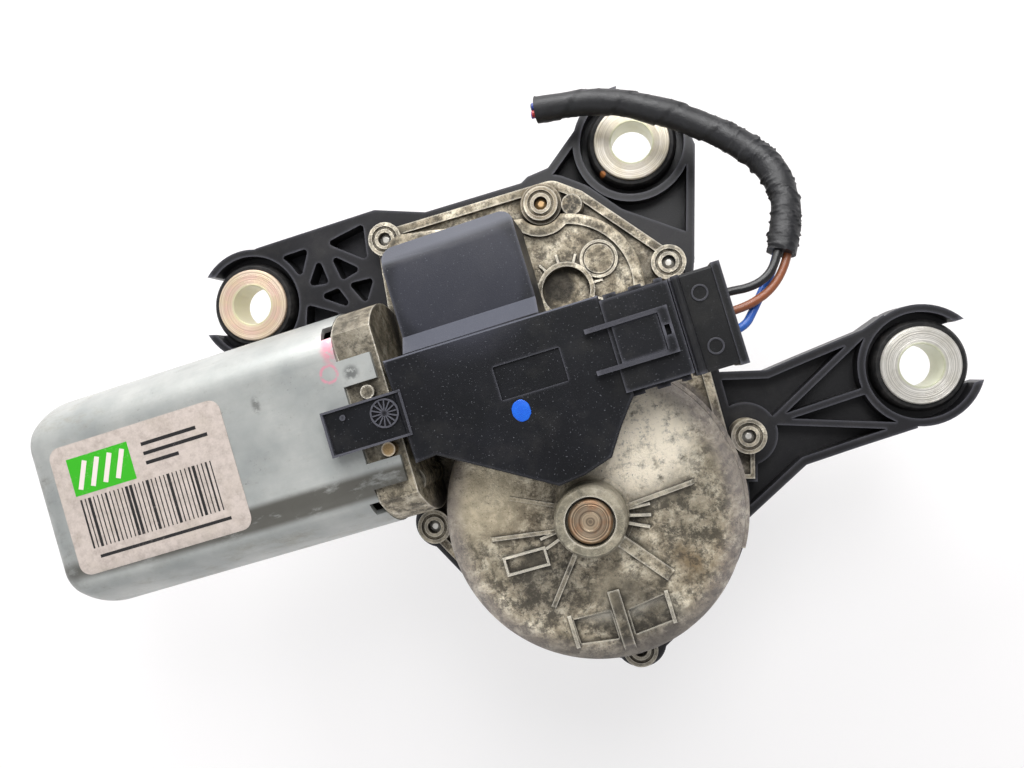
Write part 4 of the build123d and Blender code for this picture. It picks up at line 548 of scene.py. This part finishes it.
def galvanised_sheet():
    material, tree, shader, place = new_material("galvanised deep-drawn steel")
    spangle = add_node(tree, "TexNoise", {"Vector": place, "Scale": per_mm(16), "Detail": 6, "Roughness": 0.6})
    shades = [(0.35, "#9b9e9c"), (0.68, "#babbb7")]
    skin = add_node(tree, "ValToRGB", {"Fac": spangle.outputs["Fac"]}, stops=shades)
    smears = patches(tree, place, 6, 0.5, 0.78, 9, 0.78, (0.6, 1, 1))
    specks = patches(tree, place, 0.9, 0.62, 0.7, 3)
    drawn = patches(tree, place, 0.7, 0.3, 0.75, 4, 0.6, (0.04, 1, 1))
    band = spot(tree, place, (-74, -33.2), 2.2, 4.2, (0.04, 1, 0))
    low_side = spot(tree, place, (-100, -42.0), 2.0, 6.0, (0.03, 1, 0))
    closed_end = spot(tree, place, (-143, -17), 3, 10, (1, 0.1, 0))
    scratch = spot(tree, place, (-79.5, -6.4), 0.4, 1.5, (1, 0.5, 0))
    splash = spot(tree, place, (-58.4, 1.6), 0.6, 2.6, (1, 0.45, 0))
    ring_out = spot(tree, place, STAMP, 2.2, 2.6)
    ring_in = spot(tree, place, STAMP, 1.5, 1.9)
    ring = add_node(tree, "Math", {0: ring_out, 1: ring_in}, operation="SUBTRACT").outputs[0]
    ink = patches(tree, place, 1.4, 0.38, 0.5, 3)
    streaked = patches(tree, place, 5, 0.26, 0.46, 8, 0.7, (0.4, 1, 1))
    layers = [
        ([smears], 0.4, "#94918a"),
        ([drawn], 0.25, "#a0a5a4"),
        ([band, streaked], 0.9, "#4a4740"),
        ([low_side, smears], 0.5, "#8a8470"),
        ([closed_end, smears], 0.7, "#6d6a62"),
    ]
    corners = [((-128, 8), 3, 14, 0.6, "#8d8062", smears), ((-141, -43), 1, 4, 0.8, "#3d3b36", ink)]
    layers += marked(tree, place, corners) + [([specks, smears], 0.8, "#3f3d39")]
    knocks = [((-54.2, -5.8), 0.8, 2.6, 0.75, "#4a4c4c", ink), ((-70, -4.2), 0.6, 2.4, 0.9, "#33312e", specks)]
    layers += marked(tree, place, knocks) + [([scratch, ink], 0.6, "#4a4a48")]
    layers += marked(tree, place, [((-75, -10.2), 0.5, 1.9, 0.9, "#33312e", specks)])
    layers += [([ring, ink], 0.75, "#d98b9d"), ([splash, ink], 0.7, "#dc8296")]
    colour = coats(tree, skin.outputs["Color"], layers)
    tree.links.new(colour, shader.inputs["Base Color"])
    shader.inputs["Metallic"].default_value = 0.45
    rough = add_node(tree, "MapRange", {"Value": smears, "To Min": 0.42, "To Max": 0.6})
    tree.links.new(rough.outputs[0], shader.inputs["Roughness"])
    relief(tree, shader, [(spangle.outputs["Fac"], 0.3, 0.4), (drawn, 0.15, 0.05)])
    return material


finishes["can_steel"] = galvanised_sheet()
print("made", finishes["can_steel"].name)


# %% [markdown]
# ## Moulded plastics
# The bracket and the electronics cover are black glass-filled nylon. Moulded against a spark-eroded tool it has
# a fine grain that spreads the light, and on the cover the glass shows as tiny pale flecks. The real grain is
# about 0.1 mm, and is drawn three times as coarse so that it shows. One recipe serves all plastics, each with its
# own colour, gloss, flecks and dust, and where it is asked for, painted shade in its pockets with painted highlights
# on its outer edges, and a painted sheen on the faces that look towards the key lamp.

# %% Recipe for a moulded plastic
GLASS_FLECK = "#8b8d93"
ROAD_DUST = "#8a867e"
# painted highlight on the outer edges of ribs
RIB_EDGE_HIGHLIGHT = "#5d5d65"


def moulded_plastic(name, dark, pale, roughness, fleck=0.5, dust=0.1, specular=0.5, deep=None, slope_sheen=None, marks=()):
    material, tree, shader, place = new_material(name)
    broad = add_node(tree, "TexNoise", {"Vector": place, "Scale": per_mm(16), "Detail": 6, "Roughness": 0.6})
    shade = add_node(tree, "ValToRGB", {"Fac": broad.outputs["Fac"]}, stops=[(0.35, dark), (0.75, pale)])
    grain = patches(tree, place, 0.35, 0.3, 0.75, 3)
    flecks = patches(tree, place, 0.42, 0.66, 0.74, 2)
    dusty = patches(tree, place, 10, 0.5, 0.75, 8, 0.7)
    layers = [([flecks], fleck, GLASS_FLECK), ([dusty], dust, ROAD_DUST)] + marked(tree, place, marks)
    # painted sheen: faces that look towards +Y, where the key lamp stands, are painted paler
    if slope_sheen:
        facing = add_node(tree, "SeparateXYZ", {"Vector": add_node(tree, "NewGeometry").outputs["Normal"]})
        sheen_facing = add_node(tree, "MapRange", {"Value": facing.outputs["Y"], "From Min": 0.3, "From Max": 0.45})
        layers.append(([sheen_facing.outputs[0]], 0.8, slope_sheen))
    spread = {"Value": broad.outputs["Fac"], "To Min": roughness - 0.08, "To Max": roughness + 0.1}
    rough = add_node(tree, "MapRange", spread).outputs[0]
    # painted shade darkens the pockets with the deep colour, and painted highlights brighten the outer edges
    if deep:
        pocket_shade_mask = hollows(tree, 7, 0.2, 0.7)
        layers += [([pocket_shade_mask], 0.6, deep), ([hollows(tree, 1.2, 0.35, 0.8, inside=True)], 0.75, RIB_EDGE_HIGHLIGHT)]
        matter = add_node(tree, "Math", {0: pocket_shade_mask, 1: 0.75}, operation="MULTIPLY")
        rough = add_node(tree, "Math", {0: rough, 1: matter.outputs[0]}, operation="MAXIMUM").outputs[0]
    tree.links.new(rough, shader.inputs["Roughness"])
    tree.links.new(coats(tree, shade.outputs["Color"], layers), shader.inputs["Base Color"])
    shader.inputs["Specular IOR Level"].default_value = specular
    relief(tree, shader, [(broad.outputs["Fac"], 0.2, 0.3), (grain, 0.3, 0.05)])
    return material


# %% The plastics of the motor
# the middle of the cover's deck is paler, fading out towards its edges
DECK_PALE_MIDDLE = [((-23, 8), 14, 17.5, 0.4, "#3c3d47"), ((-23, 8), 17, 22, 0.2, "#3c3d47")]
finishes["bracket_plastic"] = moulded_plastic(
    "bracket, glass-filled nylon", "#100f12", "#19181c", 0.4, fleck=0.1, dust=0.06, specular=0.42, deep="#040405"
)
# the cover gets painted shade in its pockets and a painted sheen on its slopes
finishes["cover_plastic"] = moulded_plastic(
    "cover, glass-filled nylon", "#08090d", "#101117", 0.42, 0.4, 0.05, 0.26, "#030304", "#4b4d57", DECK_PALE_MIDDLE
)
finishes["plug_plastic"] = moulded_plastic(
    "plug, polyester", "#080809", "#111113", 0.36, fleck=0.12, dust=0.05, specular=0.32, deep="#030304"
)
PLAIN_PLASTICS = {
    "holder_plastic": ("brush holder, phenolic", "#1d1a19", "#3a3532", 0.6),
    "board_green": ("lacquered circuit board", "#123820", "#1f5a34", 0.35, 0.1, 0.05),
    "nylon_white": ("natural acetal", "#d9d4c6", "#eae6da", 0.4, 0.1, 0.05),
    "gasket_paper": ("fibre gasket", "#4a453d", "#6b6455", 0.8, 0.2, 0.2),
    "carbon": ("carbon brush", "#161616", "#2c2c2c", 0.6, 0.1, 0.02),
    "ferrite": ("ferrite magnet", "#202022", "#3a3a3c", 0.55, 0.2, 0.05),
    "wire_black": ("black wire insulation", "#0c0c0e", "#18181b", 0.36, 0.05),
    "wire_brown": ("brown wire insulation", "#7f4526", "#a25f39", 0.38, 0.05),
    "wire_blue": ("blue wire insulation", "#1d52a8", "#3270c4", 0.38, 0.05),
}
for slot, recipe in PLAIN_PLASTICS.items():
    finishes[slot] = moulded_plastic(*recipe)

INSULATIONS = {
    "cut_end_violet": ("violet wire insulation", "#4a3f8f", "#6a5cb0"),
    "cut_end_red": ("red wire insulation", "#8f1f22", "#b03034"),
    "cut_end_dark": ("dark wire insulation", "#121214", "#1c1c20"),
    "cut_end_blue": ("deep blue wire insulation", "#1a2f80", "#2845a0"),
}
for name, recipe in INSULATIONS.items():
    cut_ends[name].data.materials.append(moulded_plastic(*recipe, 0.4, 0.05))
print("made", 3 + len(PLAIN_PLASTICS) + len(INSULATIONS), "plastics")

# %% [markdown]
# ## Plain worked metals
# Turned, ground, stamped and plated metals differ mostly in colour and in how rough they are. A little noise in
# the roughness and a fine bump keep them from looking like chrome.


# %% Recipe for a worked metal
def worked_metal(name, colour, stain, roughness, stain_amount=0.4, metallic=1.0, marks=()):
    material, tree, shader, place = new_material(name)
    patch = add_node(tree, "TexNoise", {"Vector": place, "Scale": per_mm(3), "Detail": 6, "Roughness": 0.65})
    stained = patches(tree, place, 3, 0.45, 0.7)
    layers = [([stained], stain_amount, stain)] + marked(tree, place, marks)
    tree.links.new(coats(tree, linear(colour), layers), shader.inputs["Base Color"])
    shader.inputs["Metallic"].default_value = metallic
    spread = {"Value": patch.outputs["Fac"], "To Min": roughness - 0.08, "To Max": roughness + 0.15}
    tree.links.new(add_node(tree, "MapRange", spread).outputs[0], shader.inputs["Roughness"])
    relief(tree, shader, [(patches(tree, place, 0.3, 0.3, 0.7, 2), 0.2, 0.03)])
    return material


# %% The worked metals of the motor
SCREW_MARKS = [(TOP_EAR, 2.6, 3.0, 0.85, "#c79a55")]
METALS = {
    "sleeve_steel": ("zinc-plated sleeve", "#d8d0c2", "#b7a88e", 0.28),
    "screw_steel": ("zinc-plated screw", "#f0ede6", "#a59c88", 0.3, 0.35, 0.6, SCREW_MARKS),
    "shaft_steel": ("ground steel", "#b5b5b3", "#8b8780", 0.25, 0.25),
    "spring_steel": ("spring steel", "#8f8f92", "#5f5a55", 0.3, 0.2),
    "lever_steel": ("stamped steel", "#9b9a96", "#6d665c", 0.4, 0.35),
    "lamination_steel": ("laminated steel", "#6a6763", "#4a4540", 0.45, 0.35),
    "bearing_bronze": ("sintered bronze", "#a98451", "#6f5432", 0.45, 0.35),
    "contact_brass": ("tinned brass", "#cbb98a", "#8d7a4c", 0.3, 0.2),
    "copper_wire": ("enamelled copper", "#b5622f", "#7d3a18", 0.3, 0.35),
    "commutator_copper": ("turned copper", "#c07a4d", "#5d3a26", 0.3, 0.35),
}
for slot, recipe in METALS.items():
    finishes[slot] = worked_metal(*recipe)
print("made", len(METALS), "worked metals")

# %% [markdown]
# ## Turned faces
# A lathe leaves rings round the axis of what it cuts, and they hold dirt and plating colours unevenly. The
# distance from that axis drives a noise of one dimension, so that the rings differ in width and strength. They
# go both into the colour and into the bump, where the light breaks on them. The axle's end has copper tones, and
# the three sleeves were plated at different times: one yellow, one clear and one plain zinc.


# %% Turned faces
def turned_metal(name, centre, colour, tones, roughness, ring_mm, metallic, marks=()):
    material, tree, shader, place = new_material(name)
    fine = rings(tree, place, centre, ring_mm, 0.42, 0.58)
    wide = rings(tree, place, centre, ring_mm * 5, 0.44, 0.56)
    stained = patches(tree, place, 4, 0.42, 0.62)
    layers = [([wide], 0.5, tones[1]), ([stained], 0.45, tones[2]), ([fine], 0.6, tones[0])]
    layers += marked(tree, place, [(centre, *mark) for mark in marks])
    tree.links.new(coats(tree, linear(colour), layers), shader.inputs["Base Color"])
    shader.inputs["Metallic"].default_value = metallic
    shader.inputs["Roughness"].default_value = roughness
    relief(tree, shader, [(fine, 0.5, 0.08)])
    return material


finishes["axle_copper"] = turned_metal(
    "turned axle end", WHEEL, "#8f7c6a", ("#2f251e", "#eed6b4", "#b0672c"), 0.3, 0.55, 0.75
)

BORE = (5.6, 6.3, 0.5, "#c3c99a")
SLEEVES = {
    "sleeve_left": (
        "yellow-passivated sleeve", (-86.6, 24.1), "#d9c5b2", ("#b39a84", "#d8a89e", "#d9cc9c"), 0.36, 0.34, 0.35
    ),
    "sleeve_top": (
        "clear-passivated sleeve", (27.7, 33.9), "#dcd5c8", ("#a99d89", "#efe8dc", "#cdbf98"), 0.34, 0.34, 0.3
    ),
    "sleeve_right": (
        "zinc-plated turned sleeve", (81.3, -44.9), "#d8d4cc", ("#8f8b83", "#efece5", "#b3ae9f"), 0.32, 0.3, 0.4
    ),
}
own_finishes = {node: turned_metal(*recipe, [BORE]) for node, recipe in SLEEVES.items()}
print("made", 1 + len(own_finishes), "turned metals")

# %% [markdown]
# ## Rubber
# The grommets are a soft black rubber with a dull bloom that comes to the surface as it ages. Its roughness is
# high, so it stays the darkest thing beside the bright sleeves, and a fleck of rust has stuck to one of them.


# %% Rubber
def rubber(name, colour, roughness, marks=()):
    material, tree, shader, place = new_material(name)
    bloom = patches(tree, place, 2.5, 0.45, 0.8)
    layers = [([bloom], 0.5, "#4a4643")] + marked(tree, place, marks)
    tree.links.new(coats(tree, linear(colour), layers), shader.inputs["Base Color"])
    shader.inputs["Roughness"].default_value = roughness
    shader.inputs["Specular IOR Level"].default_value = 0.35
    relief(tree, shader, [(bloom, 0.2, 0.1)])
    return material


RUST_FLECK = ((18.0, 28.3), 0.5, 1.0, 0.9, "#b8743c")
finishes["grommet_rubber"] = rubber("moulded rubber", "#0c0c0d", 0.6, [RUST_FLECK])
finishes["seal_rubber"] = rubber("lip seal rubber", "#101011", 0.5)
print("made 2 rubbers")

# %% [markdown]
# ## Cloth tape
# Harness tape is a black woven cloth with a waxy face. It is darker in the laps, where no light reaches, and rubbed
# to a soft shine on the crests of its creases. Its threads are about 0.3 mm apart.


# %% Cloth tape
def cloth_tape():
    material, tree, shader, place = new_material("cloth harness tape")
    rubbed = patches(tree, place, 5, 0.45, 0.7, 7, 0.7)
    weave = patches(tree, place, 0.3, 0.35, 0.7, 2)
    laps = hollows(tree, 1.2, 0.4, 0.8)
    layers = [([rubbed], 0.4, "#202024"), ([weave], 0.2, "#2a2a30"), ([laps], 0.7, "#050506")]
    tree.links.new(coats(tree, linear("#0b0b0d"), layers), shader.inputs["Base Color"])
    rough = add_node(tree, "MapRange", {"Value": rubbed, "To Min": 0.5, "To Max": 0.36})
    tree.links.new(rough.outputs[0], shader.inputs["Roughness"])
    shader.inputs["Specular IOR Level"].default_value = 0.5
    relief(tree, shader, [(rubbed, 0.3, 0.3), (weave, 0.3, 0.06)])
    return material


finishes["harness_tape"] = cloth_tape()
print("finishes for", len(finishes), "slots")

# %% [markdown]
# ## Dress the CAD nodes
# The solids arrive as loose triangles. Each visible one keeps its shape, and live modifiers finish it: the
# triangles are welded, flat areas cleaned up, and every hard edge gets a small rounded corner that catches the
# light, as a moulding, a casting or a deburred edge does. Weighted normals then keep the flat faces flat.

# %% Dress the nodes
WELD_MM = 0.001
FLAT_DEGREES = 0.6
SHARP_DEGREES = 38
SMALL_EDGE_MM = 0.12
EDGE_MM = {
    "gear_housing": 0.4,
    "motor_can": 0.3,
    "mounting_bracket": 0.35,
    "electronics_cover": 0.25,
    "plug_housing": 0.2,
}


def dress(name, finish):
    """Material, smooth shading and rounded edges for a CAD node, with its mesh left alone."""
    piece = nodes[name]
    piece.data.materials.clear()
    piece.data.materials.append(finish)
    smooth(piece.data)
    weld = piece.modifiers.new("weld", "WELD")
    weld.merge_threshold = WELD_MM * MM
    flats = piece.modifiers.new("flats", "DECIMATE")
    flats.decimate_type = "DISSOLVE"
    flats.angle_limit = math.radians(FLAT_DEGREES)
    edges = piece.modifiers.new("edges", "BEVEL")
    edges.limit_method = "ANGLE"
    edges.angle_limit = math.radians(SHARP_DEGREES)
    edges.width = EDGE_MM.get(name, SMALL_EDGE_MM) * MM
    edges.segments = 2
    edges.harden_normals = False
    normals = piece.modifiers.new("normals", "WEIGHTED_NORMAL")
    normals.mode = "FACE_AREA"
    normals.weight = 50


for part in frame["record"]["subparts"]:
    node, slot = part["node"], part["material_slot"]
    if node in cords:
        cords[node].data.materials.append(finishes[slot])
        continue
    dress(node, own_finishes.get(node, finishes[slot]))
print("dressed", len(nodes) - len(cords), "nodes")

# %% [markdown]
# ## Paper label
# A paper label is glued to the flat of the can, and its lower edge bends over the first ridge. The sheet starts as
# a flat grid, its corners are rounded by bevelling the four points, and it is cut across where it will bend. Then
# each point is laid on the can by its distance along the can's section, so the bend keeps the paper's length.

# %% Cut the label and bend it round the can
MOTOR_Y = -16.8
MOTOR_Z = 25.0
CAN_FLAT_HALF = 15.83
CAN_FLAT_Z = 19.5
CAN_RIDGE_R = 9.0
LABEL_X = (-135.8, -88.6)
LABEL_S = (-18.0, 15.0)
LABEL_CORNER = 3
LABEL_BORDER = 0.55
BEND_CUTS = (-CAN_FLAT_HALF, -16.4, -17.0, -17.5, 0.0)
PAPER = 0.12
GLUE = 0.02


def lay_on_can(shape, lift):
    """Move points from (x, distance along the section, height) onto the can, this far over its skin."""
    for vertex in shape.verts:
        x, along, height = vertex.co / MM
        over = lift + height
        bent = max(abs(along) - CAN_FLAT_HALF, 0) / CAN_RIDGE_R
        across = min(abs(along), CAN_FLAT_HALF) + (CAN_RIDGE_R + over) * math.sin(bent)
        up = CAN_FLAT_Z - CAN_RIDGE_R + (CAN_RIDGE_R + over) * math.cos(bent)
        vertex.co = Vector((x, MOTOR_Y + math.copysign(across, along), MOTOR_Z + up)) * MM


def printed_paper():
    material, tree, shader, place = new_material("aged label paper")
    mottle = patches(tree, place, 2.2, 0.42, 0.65, 7, 0.7)
    fibre = patches(tree, place, 0.5, 0.45, 0.8, 3)
    damp = patches(tree, place, 9, 0.5, 0.7)
    layers = [([mottle], 0.6, "#93877f"), ([fibre], 0.3, "#d6ccc4"), ([damp], 0.35, "#aa9f8f")]
    tree.links.new(coats(tree, linear("#bdb1a9"), layers), shader.inputs["Base Color"])
    shader.inputs["Roughness"].default_value = 0.48
    relief(tree, shader, [(mottle, 0.2, 0.06), (fibre, 0.2, 0.03)])
    return material


def aged_edge():
    material, tree, shader, place = new_material("yellowed paper edge")
    mottle = patches(tree, place, 1.5, 0.4, 0.65, 5)
    tree.links.new(coats(tree, linear("#f3e9cd"), [([mottle], 0.4, "#d6c495")]), shader.inputs["Base Color"])
    shader.inputs["Roughness"].default_value = 0.5
    relief(tree, shader, [(mottle, 0.2, 0.04)])
    return material


paper = bmesh.new()
bmesh.ops.create_grid(paper, x_segments=1, y_segments=1, size=0.5)
width, depth = (LABEL_X[1] - LABEL_X[0]) * MM, (LABEL_S[1] - LABEL_S[0]) * MM
bmesh.ops.scale(paper, verts=paper.verts, vec=(width, depth, 1))
bmesh.ops.translate(paper, verts=paper.verts, vec=(sum(LABEL_X) / 2 * MM, sum(LABEL_S) / 2 * MM, 0))
bmesh.ops.bevel(
    paper,
    geom=paper.verts[:],
    affect="VERTICES",
    offset=LABEL_CORNER * MM,
    offset_type="OFFSET",
    segments=6,
    profile=0.5,
    material=-1,
)
bmesh.ops.inset_region(paper, faces=paper.faces[:], thickness=LABEL_BORDER * MM, depth=0)
for face in paper.faces:
    if face.calc_area() < 0.5 * width * depth:
        face.material_index = 1
for cut in BEND_CUTS:
    everything = [*paper.verts, *paper.edges, *paper.faces]
    bmesh.ops.bisect_plane(paper, geom=everything, plane_co=(0, cut * MM, 0), plane_no=(0, 1, 0))
extrude_up(paper, PAPER)
bmesh.ops.recalc_face_normals(paper, faces=paper.faces)
lay_on_can(paper, GLUE)
label = to_piece("paper_label", paper, printed_paper(), aged_edge())
print("label", len(label.data.polygons), "faces")

# %% [markdown]
# ## Print on the label
# The print is a plain pattern of the same inks: a green field with slanted pale stripes, a ruled block of black
# bars and a few rules. Each mark is a thin slab of ink on the flat part of the paper, made from one cube that is
# scaled to its size, because ink has a sharp edge that a blurred pattern would lose.

# %% Print the label
INK = 0.02
PRINT_LIFT = GLUE + PAPER
GREEN_FIELD = (-123.0, 6.6, 17.0, 9.6)
FIRST_STRIPE = (-128.2, 6.6, 1.3, 7.4)
STRIPES = 4
STRIPE_STEP = 3.5
STRIPE_SLANT = -24
FIRST_BAR_X = -130.5
BARS = 32
BAR_STEP = 1.15
BAR_WIDTHS = (0.3, 0.3, 0.5, 0.8)
BAR_MIDDLE = -5.6
BAR_HEIGHT = 12.6
RULE_START = -111.0
RULE_LENGTHS = (15.0, 17.5, 9.0)
FIRST_RULE = 9.6
RULE_STEP = 2.4
RULE_HEIGHT = 0.9
LONG_RULE = (-111.5, -14.2, 36.0, 0.8)


def ink_mark(shape, x, along, wide, high, turn=0.0, lift=0.0):
    """One slab of ink: its middle on the label, its width along the can, its height across it."""
    size = Matrix.Diagonal((wide * MM, high * MM, INK * MM, 1))
    spin = Matrix.Rotation(math.radians(turn), 4, "Z")
    at = Matrix.Translation(Vector((x, along, INK / 2 + lift)) * MM)
    bmesh.ops.create_cube(shape, size=1, matrix=at @ spin @ size)


def ink(name, colour):
    material, tree, shader, place = new_material(name)
    worn = patches(tree, place, 0.6, 0.55, 0.75, 4)
    rubbed = patches(tree, place, 6, 0.5, 0.7)
    tree.links.new(coats(tree, linear(colour), [([worn, rubbed], 0.6, "#c9b9b2")]), shader.inputs["Base Color"])
    shader.inputs["Roughness"].default_value = 0.42
    relief(tree, shader, [(worn, 0.15, 0.02)])
    return material


green = bmesh.new()
ink_mark(green, *GREEN_FIELD)
lay_on_can(green, PRINT_LIFT)
to_piece("label_green_field", green, ink("green printing ink", "#2fa512"))

stripes = bmesh.new()
stripe_x, *stripe_shape = FIRST_STRIPE
for step in range(STRIPES):
    ink_mark(stripes, stripe_x + step * STRIPE_STEP, *stripe_shape, turn=STRIPE_SLANT, lift=INK)
lay_on_can(stripes, PRINT_LIFT)
to_piece("label_pale_stripes", stripes, ink("pale printing ink", "#dccfca"))

random.seed(7)
black = bmesh.new()
for step in range(BARS):
    ink_mark(black, FIRST_BAR_X + BAR_STEP * step, BAR_MIDDLE, random.choice(BAR_WIDTHS), BAR_HEIGHT)
for row, length in enumerate(RULE_LENGTHS):
    ink_mark(black, RULE_START + length / 2, FIRST_RULE - row * RULE_STEP, length, RULE_HEIGHT)
ink_mark(black, *LONG_RULE)
lay_on_can(black, PRINT_LIFT)
to_piece("label_black_marks", black, ink("black printing ink", "#171516"))
print("printed", BARS, "bars")

# %% [markdown]
# ## Paint dot on the cover
# An inspector dabbed a drop of blue paint on the cover. It dried as a low, slightly oval dome. A circle is extruded
# and its top edge bevelled, and a few points are nudged so that it looks like a dab and not a disc.

# %% Paint dot
DOT = (-16.9, -26.3, 48.0)
DOT_R = 2.35
DOT_OVAL = (0.95, 1.1, 1)
DOT_NUDGE = 0.06
DOT_HEIGHT = 0.2
DOT_ROUND = 0.18


def gloss_paint():
    material, tree, shader, place = new_material("blue marking paint")
    pool = patches(tree, place, 1.6, 0.4, 0.7, 4)
    tree.links.new(coats(tree, linear("#0a55c4"), [([pool], 0.4, "#146fd8")]), shader.inputs["Base Color"])
    shader.inputs["Roughness"].default_value = 0.35
    relief(tree, shader, [(pool, 0.3, 0.1)])
    return material


dot = bmesh.new()
bmesh.ops.create_circle(dot, cap_ends=True, segments=28, radius=DOT_R * MM)
for index, vertex in enumerate(dot.verts):
    vertex.co *= 1 + DOT_NUDGE * noise.noise(Vector((index * 0.5, 0.3, 7.0)))
bmesh.ops.scale(dot, verts=dot.verts, vec=DOT_OVAL)
extrude_up(dot, DOT_HEIGHT)
crest = [edge for edge in dot.edges if all(vertex.co.z > 0.1 * MM for vertex in edge.verts)]
bmesh.ops.bevel(
    dot,
    geom=crest,
    affect="EDGES",
    offset=DOT_ROUND * MM,
    offset_type="OFFSET",
    segments=4,
    profile=0.5,
    material=-1,
)
bmesh.ops.recalc_face_normals(dot, faces=dot.faces)
bmesh.ops.translate(dot, verts=dot.verts, vec=Vector(DOT) * MM)
paint_dot = to_piece("paint_dot", dot, gloss_paint())
smooth(paint_dot.data)
print("paint dot", len(paint_dot.data.polygons), "faces")

# %% [markdown]
# ## Studio
# The motor rests on a white table. The table glows a little towards the camera, so that it reads as paper white
# while it still keeps the soft shadow. Mirror-like reflections see the same glow, so they match what the camera
# sees, but the soft light that falls on the motor is that of a plain white table.

# %% Table
TABLE_Z = -59.0
TABLE_HALF_M = 1.5
GLOW = 0.55

table = bmesh.new()
bmesh.ops.create_grid(table, x_segments=1, y_segments=1, size=TABLE_HALF_M)
bmesh.ops.translate(table, verts=table.verts, vec=(0, 0, TABLE_Z * MM))
table_mesh = bpy.data.meshes.new("table")
table.to_mesh(table_mesh)
table.free()
table_piece = bpy.data.objects.new("table", table_mesh)
bpy.context.scene.collection.objects.link(table_piece)

white_paper = bpy.data.materials.new("white table")
white_paper.use_nodes = True
tree = white_paper.node_tree
tree.nodes.clear()
rays = add_node(tree, "LightPath").outputs
shown = add_node(tree, "Math", {0: rays["Is Camera Ray"], 1: rays["Is Glossy Ray"]}, operation="MAXIMUM")
seen = add_node(tree, "Math", {0: shown.outputs[0], 1: rays["Is Transmission Ray"]}, operation="MAXIMUM")
share = add_node(tree, "Math", {0: seen.outputs[0], 1: GLOW}, operation="MULTIPLY")
matt = add_node(tree, "BsdfDiffuse", {"Color": linear("#fffbfb")})
glow = add_node(tree, "Emission", {"Color": linear("#ffffff"), "Strength": 1.0})
blend = add_node(tree, "MixShader", {0: share.outputs[0], 1: matt.outputs[0], 2: glow.outputs[0]})
add_node(tree, "OutputMaterial", {"Surface": blend.outputs[0]})
table_mesh.materials.append(white_paper)
print("table at", TABLE_Z, "mm")

# %% [markdown]
# ## Sky and lamps
# The sky is pale at the horizon, where the sides of the motor look, and darker overhead, which keeps the flat
# black plastics black. One large, low panel behind the motor rakes over it and lights the bevels that face it, a
# smaller one stands above for the flat tops, and a weak one fills the near side. All stay at a plain level.

# %% Sky and lamps
SKY = 0.48
HORIZON = 0.95
SKY_STARTS = 0.35

world = bpy.data.worlds.new("studio")
bpy.context.scene.world = world
world.use_nodes = True
tree = world.node_tree
tree.nodes.clear()
direction = add_node(tree, "SeparateXYZ", {"Vector": add_node(tree, "TexCoord").outputs["Generated"]})
fade = {"Value": direction.outputs["Z"], "From Max": SKY_STARTS, "To Min": HORIZON, "To Max": SKY}
strength = add_node(tree, "MapRange", fade)
sky = add_node(tree, "Background", {"Color": linear("#f2f3f6"), "Strength": strength.outputs[0]})
add_node(tree, "OutputWorld", {"Surface": sky.outputs[0]})


def panel(name, place, target, size, power):
    """A square area lamp that faces a point, both in millimetres."""
    lamp = bpy.data.lights.new(name, "AREA")
    lamp.size = size * MM
    lamp.energy = power
    piece = bpy.data.objects.new(name, lamp)
    piece.location = Vector(place) * MM
    piece.rotation_euler = (Vector(target) * MM - piece.location).to_track_quat("-Z", "Y").to_euler()
    bpy.context.scene.collection.objects.link(piece)


panel("key", (-40, 470, 270), (0, -10, 0), 340, 3.4)
panel("top", (130, 250, 460), (0, -20, 0), 240, 1.7)
panel("fill", (-300, -260, 330), (-40, -20, 0), 300, 0.4)

bpy.context.scene.view_settings.view_transform = "Standard"
print("studio ready")

# %% [markdown]
# ## Finish
